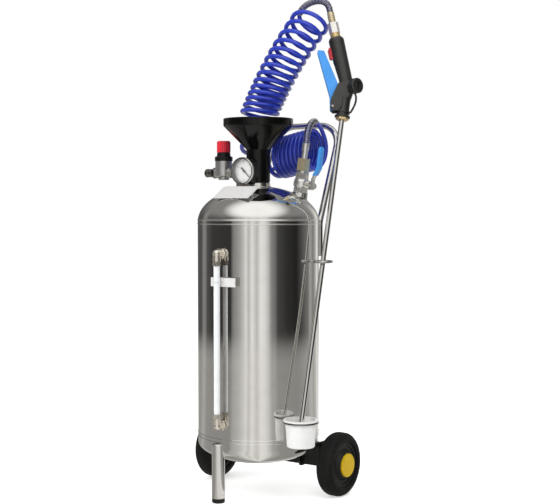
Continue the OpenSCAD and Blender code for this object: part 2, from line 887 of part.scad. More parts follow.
module lever_sleeve() at_valve() color(sky_blue) difference() {
    dip = 1.5;
    sleeve_w = lever_w + 2 * dip;
    sleeve_z = ball_z + 21;
    round_z = lever_top + dip - sleeve_w / 2;
    intersection() {
        translate([0, sleeve_w / 2, 0]) rotate([90, 0, 0]) linear_extrude(sleeve_w) lever_outline(dip);
        union() {
            translate([0, -sleeve_w / 2, sleeve_z]) cube([80, sleeve_w, round_z - sleeve_z]);
            translate([0, 0, round_z]) rotate([0, 90, 0]) cylinder(d = sleeve_w, h = 80);
        }
    }
    lever_bar();
}

// Hose fittings on the valve
tail_top = 696;

module tank_hose_nut() at_valve() color(brass) difference() {
    translate([0, 0, body_top - 6]) hex(24, 24);
    translate([0, 0, body_top - 7]) cylinder(d = 19 + 2 * running, h = 7);
    translate([0, 0, body_top - 1]) cylinder(d = 12 + 2 * running, h = 30);
}

// Hose tail: a neck in the nut and a crimped ferrule, its end at the top
module hose_tail(neck, total) {
    difference() {
        rotate_extrude() polygon([
            [0, 0], [6, 0], [6, neck], [7, neck + 1], [7, total - 1.5], [6.9, total], [0, total]
        ]);
        translate([0, 0, -1]) cylinder(d = 5, h = total + 2);
    }
}

module tank_hose_tail() at_valve() color(nickel) {
    translate([0, 0, body_top]) hose_tail(tail_top - body_top - 16, tail_top - body_top);
}

// Rests for the lance: wire rings welded to the tank's right side
lance_top = [141, 87, 745];
lance_dir = [sin(lance_tilt) * cos(lance_az), sin(lance_tilt) * sin(lance_az), cos(lance_tilt)];
ring_z = 464;
ring_wire = 5;
ring_mean_r = 17;
cup_x = 146;
cup_y = -66;
cup_wire = 3.6;
cup_ring_r = 32.5;
cup_ring_z = cup_top - 4.9;

// Point of the lance's axis at height z
function lance_at(z) = lance_top + lance_dir * ((z - lance_top[2]) / lance_dir[2]);

// A wire ring with a stay to the tank
module stayed_ring(centre, mean_r, wire_d) {
    toward = [centre[0], centre[1], 0] / norm([centre[0], centre[1]]);
    reach = norm([centre[0], centre[1]]) - mean_r;
    difference() {
        union() {
            translate(centre) wire_ring(mean_r, wire_d);
            translate([0, 0, centre[2]]) rod(toward * (tank_r - 6), toward * reach, wire_d);
        }
        tank_outside();
    }
}

module lance_ring() at_tank() color(steel) {
    spot = lance_at(ring_z);
    stayed_ring([spot[0], spot[1], ring_z], ring_mean_r, ring_wire);
}

module cup_ring() at_tank() color(steel) {
    stayed_ring([cup_x, cup_y, cup_ring_z], cup_ring_r, cup_wire);
}

module drip_cup() at_tank() color(white) {
    rim = cup_d / 2;
    wall = 2;
    top_r = 29.8;
    base_r = 26.5;
    translate([cup_x, cup_y, cup_top - cup_h]) rotate_extrude() polygon([
        [0, 0], [base_r - 1.5, 0], [base_r, 1.5], [top_r, cup_h - 3], [rim, cup_h - 3], [rim, cup_h],
        [top_r - wall, cup_h], [base_r - wall, 2.5], [0, 2.5]
    ]);
}

// Lance and gun: local Z runs up the lance, local X points to the trigger's side
module at_lance() {
    at_tank() translate(lance_top) rotate([0, lance_tilt, lance_az]) rotate([0, 0, gun_roll]) children();
}

module lance_tube() at_lance() color(steel) {
    translate([0, 0, -lance_len]) pipe(lance_d, lance_d - 2, lance_len + 30);
}

module lance_nut() at_lance() color(brass) difference() {
    nut_l = 4.5;
    translate([0, 0, flange_z - nut_l]) hex(22, nut_l);
    translate([0, 0, -20]) cylinder(d = lance_d + 2 * running, h = 40);
}

module foam_nozzle() at_lance() color(brass) difference() {
    translate([0, 0, -lance_len - 10]) union() {
        translate([0, 0, 8]) hex(15, 12);
        rotate_extrude() polygon([[0, 0], [5, 0], [6.5, 2], [6.5, 8], [0, 8]]);
        translate([0, 0, 20]) cylinder(d = 14, h = 8);
    }
    translate([0, 0, -lance_len]) cylinder(d = lance_d + 2 * running, h = 60);
    translate([0, 0, -lance_len - 20]) cylinder(d = 4, h = 40);
    translate([-10, -1, -lance_len - 11]) cube([20, 2, 3]);
}

// Lower face of the gun's flange
flange_z = -1;

// Grip: local Z runs up the grip from the valve block
grip_len = 122;
grip_lean = 19;
grip_foot = [-6, 0, 45];
pivot = [22, 0, 17.6];
cheek_in = 8.7;
cheek_out = 12.5;
trigger_half = 8.2;

module on_grip() {
    translate(grip_foot) rotate([0, grip_lean, 0]) children();
}

// Prism of an XZ outline, half_t thick on both sides of the gun's middle
module gun_prism(half_t) {
    translate([0, half_t, 0]) rotate([90, 0, 0]) linear_extrude(2 * half_t) children();
}

module grip_solid() {
    on_grip() hull() {
        translate([0, 0, 4]) scale([1, 0.86, 1]) cylinder(d = 30, h = 2, $fn = 32);
        translate([0, 0, grip_len * 0.55]) scale([1, 0.84, 1]) cylinder(d = 29, h = 2, $fn = 32);
        translate([0, 0, grip_len - 6]) scale([1, 0.86, 1]) cylinder(d = 31, h = 1, $fn = 32);
        translate([0, 0, grip_len - 1]) scale([1, 0.86, 1]) cylinder(d = 25, h = 1, $fn = 32);
    }
}

module gun_block() {
    hull() {
        translate([0, 0, 37]) cylinder(d = 25, h = 2, $fn = 32);
        translate([-3, 0, 58]) rotate([90, 0, 0]) cylinder(d = 26, h = 25, center = true, $fn = 32);
        translate([6, 0, 48]) rotate([90, 0, 0]) cylinder(d = 14, h = 25, center = true, $fn = 32);
    }
}

cap_dir = 130;
cap_foot = [-6, 4, 62];

module at_cap() {
    translate(cap_foot) rotate([90, 0, cap_dir + 90]) children();
}

module cheeks() {
    difference() {
        gun_prism(cheek_out) polygon([
            [8, 10], [20, 8], [26, 13], [27.5, 31], [17, 66], [4, 66], [4, 20]
        ]);
        gun_prism(cheek_in) polygon([[9.5, 0], [60, 0], [60, 100], [12, 100], [9.5, 60]]);
    }
}

module gun_body() at_lance() color(black) difference() {
    union() {
        translate([0, 0, flange_z + 2]) cylinder(d = 24, h = 39);
        translate([0, 0, flange_z]) cylinder(d = 31, h = 4);
        gun_block();
        grip_solid();
        cheeks();
        at_cap() cylinder(d = 19, h = 16);
    }
    gun_prism(cheek_in) polygon([
        [13.2, flange_z + 4], [60, flange_z + 4], [60, 106], [30, 106], [11.3, 66], [11.3, 9.5], [13.2, 9.5]
    ]);
    translate([0, 0, flange_z - 1]) cylinder(d = lance_d + 2 * running, h = 33);
    translate(pivot) rotate([90, 0, 0]) cylinder(d = 4 + 2 * running, h = 40, center = true);
    rod([4, 0, pin_z], [20, 0, pin_z], pin_d + 2 * running);
    on_grip() lock_pocket();
    on_grip() translate([0, 0, grip_len - 17]) cylinder(d = 12, h = 30);
}

// Trigger: a channel that closes over the front of the grip
module trigger() at_lance() color(sky_blue) difference() {
    union() {
        gun_prism(trigger_half) polygon([
            [pivot[0] - 5, pivot[2] - 4], [pivot[0] + 4.2, pivot[2] - 3], [30, 38], [66, 125],
            [64.5, 128], [53.5, 128.6], [52.4, 127], [18.4, 67.4], [14.6, 46], [14.6, 24]
        ]);
        translate(pivot) rotate([90, 0, 0]) cylinder(d = 10, h = 2 * trigger_half, center = true);
    }
    gun_prism(trigger_half - 2) polygon([
        [12, 42], [27.5, 42], [62.4, 126], [60.5, 135], [50, 135], [12, 70]
    ]);
    translate(pivot) rotate([90, 0, 0]) cylinder(d = 4 + 2 * running, h = 40, center = true);
}

module trigger_pin() at_lance() color(steel) {
    translate(pivot) rotate([90, 0, 0]) cylinder(d = 4, h = 2 * cheek_out, center = true);
}

pin_z = 34;
pin_d = 5;

module valve_pin() at_lance() color(steel) {
    rod([8, 0, pin_z], [14.3, 0, pin_z], pin_d);
}

// Lock button in the front of the grip, below its end
lock_z = 79;
lock_l = 24;
lock_w = 8;

module lock_pocket() {
    translate([4, -lock_w / 2 - 0.3, lock_z - 0.3]) cube([20, lock_w + 0.6, lock_l + 0.6]);
}

module lock_button() at_lance() color(red) {
    on_grip() translate([0, lock_w / 2, 0]) rotate([90, 0, 0]) linear_extrude(lock_w) polygon([
        [9, lock_z], [19, lock_z], [21, lock_z + 3], [21, lock_z + lock_l - 5],
        [18, lock_z + lock_l], [9, lock_z + lock_l]
    ]);
}

// Tethered cap on the side port, with its strap down to a clip around the gun's neck
strap_route = [
    [-16, 13.5, 50.4], [-20.5, 12.5, 44], [-22, 10, 36], [-21, 8, 27], [-17.5, 5, 17], [-14.4, 3.2, 10.2]
];
strap_d = 4;

module gun_cap() at_lance() color(black) {
    cap_r = 15.2;
    cap_low = 11.5;
    cap_high = 25;
    steps = 15;
    knots = lengths(strap_route);
    total = knots[len(knots) - 1];
    points = [for (k = [0 : steps]) smooth(strap_route, knots, total * k / steps)];
    at_cap() difference() {
        rotate_extrude() polygon([
            [0, cap_low], [cap_r, cap_low], [cap_r, cap_high - 1.5], [cap_r - 1.5, cap_high], [0, cap_high]
        ]);
        translate([0, 0, cap_low - 1]) cylinder(d = 19.2, h = 5.7);
        translate([-3, -8, cap_high - 3.5]) cube([6, 16, 10]);
    }
    sweep(points, [for (p = points) [0, 1, 0]], strap_d / 2, 8);
    difference() {
        translate([0, 0, 8.2]) pipe(28.6, 24.2, 4);
        translate([3, -20, 0]) cube([20, 40, 20]);
    }
}

module gun_inlet() at_lance() color(brass) on_grip() difference() {
    union() {
        translate([0, 0, grip_len - 16]) cylinder(d = 11.8, h = 17);
        translate([0, 0, grip_len]) cylinder(d = 20, h = 9);
        translate([0, 0, grip_len + 9]) hex(19, 22);
        translate([0, 0, grip_len + 31]) hose_tail(2, gun_tail);
    }
    translate([0, 0, grip_len - 30]) cylinder(d = 5, h = 100);
}

// Spiral hose: from the valve through a lying coil, a bend and a rising coil to the gun
gun_tail = 22;
// Middle line of the coil
coil_spine = [
    [70, 104, 686], [26, 104, 677], [-12, 104, 670], [-33, 104, 673], [-68, 104, 692], [-83, 104, 730],
    [-76, 104, 753], [-36, 99, 818], [-8, 99, 860], [13, 101, 890], [40, 105, 925], [57, 108, 947]
];
// Axis of the turns at each point of the middle line
coil_axis = [
    [-1, 0, 0], [-1, 0, 0], [-1, 0, 0], [-1, 0, 0.2], [-0.7, 0, 0.7], [-0.1, 0, 1],
    [0.1, 0.1, 1], [0.16, 0.3, 0.94], [0.17, 0.42, 0.89], [0.16, 0.52, 0.84], [0.14, 0.61, 0.78],
    [0.13, 0.65, 0.74]
];
// Turns wound up to each point of the middle line
coil_turns = [0, 4.4, 8.1, 9.2, 10.2, 11.4, 12, 17.8, 20.9, 23, 25.1, 26.45];
// Where on its circle the coil starts, in degrees from the front
coil_start = 80;
// Turns where the leads from the valve and to the gun meet the coil
coil_first = 0.18;
coil_end = coil_turns[len(coil_turns) - 1];
relaxed_r = (coil_d - hose_d) / 2;
stretched_r = (coil_stretched_d - hose_d) / 2;
rings_per_turn = 8;

function coil_radius(turn) = lookup(turn, [[8, relaxed_r], [10.2, stretched_r + 1], [18, stretched_r]]);
function at_turn(turn, c) =
    lookup(turn, [for (i = [0 : len(coil_turns) - 1]) [coil_turns[i], coil_axis[i][c]]]);
function coil_axis_at(turn) = unit([for (c = [0 : 2]) at_turn(turn, c)]);

function coil_point(turn) =
    let (
        w = coil_axis_at(turn),
        n = square_to([0, -1, 0], w),
        b = cross(w, n),
        a = coil_start + 360 * turn
    )
    smooth(coil_spine, coil_turns, turn) + coil_radius(turn) * (n * cos(a) + b * sin(a));

// Turning of directions: about Z, and from Z towards X
function turn_z(v, a) = [v[0] * cos(a) - v[1] * sin(a), v[0] * sin(a) + v[1] * cos(a), v[2]];
function lean_x(v, a) = [v[0] * cos(a) + v[2] * sin(a), v[1], v[2] * cos(a) - v[0] * sin(a)];
function from_gun(v) = turn_z(lean_x(turn_z(v, gun_roll), lance_tilt), lance_az);

// Lead from the valve's ferrule onto the coil
up = [0, 0, 1];
valve_dir = lean_x(up, valve_lean);
valve_end = [valve_x, valve_y, boss_top] + valve_dir * (tail_top - boss_top);
first_dir = unit(coil_point(coil_first + 0.01) - coil_point(coil_first));
valve_lead = [
    valve_end + valve_dir * hose_d, valve_end + valve_dir * (hose_d + 40),
    coil_point(coil_first) - first_dir * 56, coil_point(coil_first)
];

// Lead from the coil over the top into the gun's ferrule
gun_end_dir = from_gun(lean_x(up, grip_lean));
gun_end = lance_top + from_gun(grip_foot + lean_x(up * (grip_len + 31 + gun_tail), grip_lean));
last_dir = unit(coil_point(coil_end) - coil_point(coil_end - 0.01));
gun_lead = [
    coil_point(coil_end), coil_point(coil_end) + last_dir * 44,
    gun_end + gun_end_dir * (hose_d + 38), gun_end + gun_end_dir * hose_d
];

lead_steps = 12;
gun_steps = 16;
lead_range = [1 : lead_steps];
gun_range = [1 : gun_steps];
coil_steps = [floor(coil_first * rings_per_turn) + 1 : floor(coil_end * rings_per_turn)];

hose_points = concat(
    [valve_end, valve_lead[0]],
    [for (k = lead_range) bezier(valve_lead, k / lead_steps)],
    [for (k = coil_steps) coil_point(k / rings_per_turn)],
    [coil_point(coil_end)],
    [for (k = gun_range) bezier(gun_lead, k / gun_steps)],
    [gun_end]
);

hose_refs = concat(
    [for (k = [0 : lead_steps + 1]) coil_axis_at(0)],
    [for (k = coil_steps) coil_axis_at(k / rings_per_turn)],
    [for (k = [0 : gun_steps + 1]) coil_axis_at(coil_end)]
);

module spiral_hose() at_tank() color(hose_blue) {
    echo(hose_least_gap = least_gap(hose_points, hose_d));
    sweep(hose_points, hose_refs, hose_d / 2, 6);
}

// Spring guard around a line of points that starts on a ferrule
module spring_guard(line, ref, curls) {
    guard_r = hose_d / 2 + guard_wire / 2 + 0.6;
    knots = lengths(line);
    total = knots[len(knots) - 1];
    steps = curls * rings_per_turn;
    stations = [for (k = [0 : steps]) guard_wire + (total - guard_wire) * k / steps];
    dirs = [for (t = stations) unit(smooth(line, knots, t + 0.1) - smooth(line, knots, t - 0.1))];
    radials = [
        for (k = [0 : steps])
            let (n = square_to(ref, dirs[k]), b = cross(dirs[k], n), a = 360 * k / rings_per_turn)
            n * cos(a) + b * sin(a)
    ];
    wound = [for (k = [0 : steps]) smooth(line, knots, stations[k]) + guard_r * radials[k]];
    points = concat([line[0] + guard_r * radials[0]], wound);
    echo(guard_least_gap = least_gap(points, guard_wire));
    color(steel) sweep(points, concat([radials[0]], radials), guard_wire / 2, 6);
}

module tank_hose_guard() at_tank() {
    covered = floor(lead_steps * 0.6);
    line = concat([valve_end], [for (k = [0 : covered]) bezier(valve_lead, k / lead_steps)]);
    spring_guard(line, [1, 0, 0], valve_guard_curls);
}

module gun_hose_guard() at_tank() {
    bare = 3;
    line = concat([gun_end], [for (k = [gun_steps : -1 : bare]) bezier(gun_lead, k / gun_steps)]);
    spring_guard(line, [-0.36, 0.93, 0], gun_guard_curls);
}

tank_shell();
top_head();
bottom_head();
leg_tube();
leg_foot();
axle_bracket();
axle();
wheel_spacers();
left_tyre();
left_rim();
left_hub_cap();
right_tyre();
right_rim();
right_hub_cap();
handle_frame();
filler_neck();
neck_seal();
funnel();
nameplate();
gauge_stub();
gauge_case();
gauge_bezel();
gauge_dial();
gauge_needle();
gauge_lens();
regulator_elbow();
regulator_body();
regulator_bonnet();
regulator_knob();
air_inlet();
level_elbow_upper();
level_elbow_lower();
level_nuts();
level_tube();
level_tag();
outlet_boss();
dip_tube();
valve_body();
valve_ball();
valve_lever();
lever_nut();
lever_sleeve();
tank_hose_nut();
tank_hose_tail();
lance_ring();
cup_ring();
drip_cup();
lance_tube();
lance_nut();
foam_nozzle();
gun_body();
trigger();
trigger_pin();
valve_pin();
lock_button();
gun_cap();
gun_inlet();
tank_hose_guard();
gun_hose_guard();
spiral_hose();
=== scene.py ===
"""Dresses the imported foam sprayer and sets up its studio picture."""
import logging
from contextlib import contextmanager
from dataclasses import dataclass
from enum import Enum
from functools import cached_property
from math import atan2, cos, pi, radians, sin, sqrt
from typing import Any, Callable, Iterator, Optional, Sequence, Union

import bpy
from mathutils import Matrix, Vector


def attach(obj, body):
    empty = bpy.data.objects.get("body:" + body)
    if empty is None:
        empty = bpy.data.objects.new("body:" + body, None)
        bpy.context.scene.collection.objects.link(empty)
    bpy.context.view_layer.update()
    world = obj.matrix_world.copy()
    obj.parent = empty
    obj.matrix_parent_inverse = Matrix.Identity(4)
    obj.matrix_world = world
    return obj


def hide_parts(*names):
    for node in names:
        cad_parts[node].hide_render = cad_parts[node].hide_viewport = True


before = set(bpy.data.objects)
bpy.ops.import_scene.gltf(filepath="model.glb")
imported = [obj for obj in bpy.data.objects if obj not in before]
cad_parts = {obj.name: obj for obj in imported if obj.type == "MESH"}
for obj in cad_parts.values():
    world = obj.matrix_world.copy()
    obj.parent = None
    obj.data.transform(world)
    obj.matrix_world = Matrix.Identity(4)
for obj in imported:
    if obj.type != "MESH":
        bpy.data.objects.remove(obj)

LOG = logging.getLogger("foam_sprayer")
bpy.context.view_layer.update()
MM = 0.001
DOUBLES = 0.00001  # points closer than this, in metres, are one
TANK = Vector((-4.0, -20.0, 0.0))
ROOT = "trolley"
UP = Vector((0.0, 0.0, 1.0))
FRONT = Vector((0.0, -1.0, 0.0))

Number = Union[int, float]
Colour = tuple[float, float, float]
Piece = bpy.types.Object


def from_tank(point: Vector) -> Vector:
    """Point in metres in the row frame, from millimetres about the tank's axis."""
    return (point + TANK) * MM


def spin(degrees: float, axis: str) -> Matrix:
    """Rotation about an axis."""
    return Matrix.Rotation(radians(degrees), 4, axis)


def math_operator(operation: str, swapped: bool = False) -> Callable[["Sock", Any], "Sock"]:
    """An operator of Sock, which adds one Math node.

    Args:
        operation: Blender's name of the operation.
        swapped: the two sides change places, as in a reflected operator.

    Returns:
        The operator's method.
    """
    def method(self: "Sock", other: Any) -> "Sock":
        """The node's result."""
        first, second = (other, self) if swapped else (self, other)
        return self.paint.node("ShaderNodeMath", {0: first, 1: second}, {"operation": operation})
    return method


class Sock:
    """A shader socket that takes part in arithmetic."""

    def __init__(self, paint: "Paint", socket: bpy.types.NodeSocket) -> None:
        """Keeps the socket and the paint that it belongs to."""
        self.paint = paint
        self.socket = socket

    __add__, __radd__ = math_operator("ADD"), math_operator("ADD", True)
    __sub__, __rsub__ = math_operator("SUBTRACT"), math_operator("SUBTRACT", True)
    __mul__, __rmul__ = math_operator("MULTIPLY"), math_operator("MULTIPLY", True)
    __truediv__, __rtruediv__ = math_operator("DIVIDE"), math_operator("DIVIDE", True)

    def step(self, low: Number, high: Number) -> "Sock":
        """Smooth step from 0 at low to 1 at high."""
        settings = {"interpolation_type": "SMOOTHSTEP", "clamp": True}
        return self.paint.node("ShaderNodeMapRange", {0: self, 1: low, 2: high, 3: 0.0, 4: 1.0}, settings)


class Paint:
    """A node tree, of a material or of the world, while it is put together."""

    def __init__(self, owner: Union[bpy.types.Material, bpy.types.World]) -> None:
        """Empties the owner's node tree."""
        owner.use_nodes = True
        self.tree = owner.node_tree
        self.tree.nodes.clear()

    def node(self, kind: str, sockets: Optional[dict] = None, settings: Optional[dict] = None,
             out: Union[int, str] = 0) -> Sock:
        """Adds a node.

        Args:
            kind: the node's type.
            sockets: values or links by input name or number.
            settings: its properties, or "stops" for a ramp.
            out: name or number of the output that is returned.

        Returns:
            That output.
        """
        made = self.tree.nodes.new(kind)
        for name, value in (settings or {}).items():
            if name == "stops":
                self._stops(made.color_ramp, value)
            else:
                setattr(made, name, value)
        for key, value in (sockets or {}).items():
            target = made.inputs[key]
            if isinstance(value, Sock):
                self.tree.links.new(value.socket, target)
            elif isinstance(value, (tuple, list)) and len(value) == 3 and target.type == "RGBA":
                target.default_value = (*value, 1.0)
            else:
                target.default_value = value
        return Sock(self, made.outputs[out]) if made.outputs else Sock(self, made.inputs[0])

    @staticmethod
    def _stops(ramp: bpy.types.ColorRamp, stops: Sequence[tuple[float, Colour]]) -> None:
        """Fills a colour ramp with stops of place and colour."""
        while len(ramp.elements) < len(stops):
            ramp.elements.new(1.0)
        for element, (place, colour) in zip(ramp.elements, stops):
            element.position = place
            element.color = (*colour, 1.0)

    @cached_property
    def place(self) -> Sock:
        """Object coordinates, in metres in the row frame."""
        return self.node("ShaderNodeTexCoord", out="Object")

    def noise(self, scale: Number, stretch: Colour = (1.0, 1.0, 1.0), detail: Number = 3.0) -> Sock:
        """Cloudy noise from 0 to 1.

        Args:
            scale: waves per metre.
            stretch: factor on each axis.
            detail: number of finer layers.

        Returns:
            The noise value.
        """
        where = self.node("ShaderNodeMapping", {"Vector": self.place, "Scale": stretch})
        return self.node("ShaderNodeTexNoise", {"Vector": where, "Scale": scale, "Detail": detail})

    def mix(self, factor: Any, first: Any, second: Any) -> Sock:
        """Colour between two colours."""
        return self.node("ShaderNodeMix", {0: factor, 6: first, 7: second}, {"data_type": "RGBA"}, 2)

    def split(self, vector: Sock) -> list[Sock]:
        """The three parts of a vector."""
        parts = self.node("ShaderNodeSeparateXYZ", {0: vector})
        return [Sock(self, output) for output in parts.socket.node.outputs]

    def rays(self) -> list[Sock]:
        """Whether a camera, a glossy or a transmission ray looks."""
        outputs = self.node("ShaderNodeLightPath").socket.node.outputs
        return [Sock(self, outputs[f"Is {kind} Ray"]) for kind in ("Camera", "Glossy", "Transmission")]


class Relief(Enum):
    """Fine relief of a surface, with the stretch of its noise along X, Y and Z."""

    SMOOTH = ()
    ROLLED = (1.0, 1.0, 0.04)
    TURNED = (0.25, 0.25, 2.0)
    MOULDED = (1.0, 1.0, 1.0)
    TREAD = "rings around a tyre"


@dataclass(frozen=True)
class Finish:
    """A procedural finish.

    Args:
        name: material name and the piece's finish in plain words.
        colour: main colour, linear.
        worn: colour of wear or dirt that is mixed in.
        wear: share of it.
        metallic: 1 for bare metal.
        roughness: middle roughness.
        spread: how far the roughness varies.
        relief: kind of fine relief.
        scale: relief waves per metre.
        depth: relief depth in metres.
        coat: clear coat weight.
        glow: share of light that scatters inside.
        edge: radius of softened edges in metres, 0 for none.
        alpha: share of the surface that shows.
        mirror: strength of the plain reflection on a non-metal.
    """

    name: str
    colour: Colour
    worn: Colour
    wear: float = 0.2
    metallic: float = 0.0
    roughness: float = 0.4
    spread: float = 0.1
    relief: Relief = Relief.SMOOTH
    scale: float = 900.0
    depth: float = 0.00004
    coat: float = 0.0
    glow: float = 0.0
    edge: float = 0.0004
    alpha: float = 1.0
    mirror: float = 0.5

    # Noise in waves per metre, shares of the wear, and where each mark begins and ends
    PATCH_WAVES, SPECK_WAVES, MARK_WAVES = 38.0, 420.0, 160.0
    PATCH_SHARE, SPECK_SHARE, EDGE_SHARE = 0.7, 0.3, 0.8
    PATCH_STEP, EDGE_STEP, GROOVE_STEP = (0.42, 0.72), (0.02, 0.3), (-0.9, -0.2)
    MARK_STRETCH = (1.0, 1.0, 0.35)
    EDGE_SAMPLES = 4
    COAT_ROUGHNESS = 0.06
    SCATTER = (0.008, 0.008, 0.008)

    def build(self) -> bpy.types.Material:
        """Makes the material."""
        material = bpy.data.materials.new(self.name)
        paint = Paint(material)
        patches = paint.noise(self.PATCH_WAVES, detail=5.0).step(*self.PATCH_STEP)
        specks = paint.noise(self.SPECK_WAVES, detail=2.0)
        mask = (patches * self.PATCH_SHARE + specks * self.SPECK_SHARE) * self.wear
        normal = {}
        if self.edge:
            soft = paint.node("ShaderNodeBevel", {"Radius": self.edge}, {"samples": self.EDGE_SAMPLES})
            flat = paint.node("ShaderNodeNewGeometry", out="Normal")
            kept = paint.node("ShaderNodeVectorMath", {0: soft, 1: flat},
                              {"operation": "DOT_PRODUCT"}, "Value")
            mask = mask + (1.0 - kept).step(*self.EDGE_STEP) * specks * self.EDGE_SHARE
            normal = {"Normal": soft}
        if self.relief is not Relief.SMOOTH:
            normal = {"Normal": paint.node("ShaderNodeBump", {
                "Height": self._height(paint), "Strength": 1.0, "Distance": self.depth, **normal})}
        shader = paint.node("ShaderNodeBsdfPrincipled", {
            "Base Color": self._colour(paint, mask),
            "Metallic": self.metallic,
            "Roughness": self._roughness(paint, patches),
            "Coat Weight": self.coat,
            "Coat Roughness": self.COAT_ROUGHNESS,
            "Subsurface Weight": self.glow,
            "Subsurface Radius": self.SCATTER,
            "Alpha": self.alpha,
            "Specular IOR Level": self.mirror,
            **normal,
        })
        paint.node("ShaderNodeOutputMaterial", {"Surface": shader})
        return material

    def _colour(self, paint: Paint, mask: Sock) -> Sock:
        """Main colour with the worn one where the mask says."""
        return paint.mix(mask, self.colour, self.worn)

    def _roughness(self, paint: Paint, patches: Sock) -> Sock:
        """Roughness that varies with handling marks."""
        fine = paint.noise(self.MARK_WAVES, self.MARK_STRETCH, 4.0)
        return (patches * 0.5 + fine - 0.5) * self.spread + self.roughness

    def _height(self, paint: Paint) -> Sock:
        """Height field of the relief, from 0 to 1."""
        if self.relief is Relief.TREAD:
            across = paint.split(paint.place)[0] * (2 * pi * self.scale)
            wave = paint.node("ShaderNodeMath", {0: across}, {"operation": "SINE"})
            return wave.step(*self.GROOVE_STEP)
        return paint.noise(self.scale, self.relief.value, 2.0)


@dataclass(frozen=True)
class StackedFinish(Finish):
    """A finish whose metal changes along a line, for a fitting of several metals.

    Args:
        foot: point where the stack starts, in metres.
        along: unit direction of the stack.
        upper: start in metres and colour of each next metal.
    """

    foot: Colour = (0.0, 0.0, 0.0)
    along: Colour = (0.0, 0.0, 1.0)
    upper: tuple = ()

    BLEND = 0.0002

    def _colour(self, paint: Paint, mask: Sock) -> Sock:
        """Metal by its place on the stack, worn where the mask says."""
        place = paint.split(paint.place)
        x, y, z = [(part - at) * share for part, at, share in zip(place, self.foot, self.along)]
        reach = x + y + z
        colour = self.colour
        for start, metal in self.upper:
            past = reach.step(start - self.BLEND, start + self.BLEND)
            colour = paint.mix(past, colour, metal)
        return paint.mix(mask, colour, self.worn)


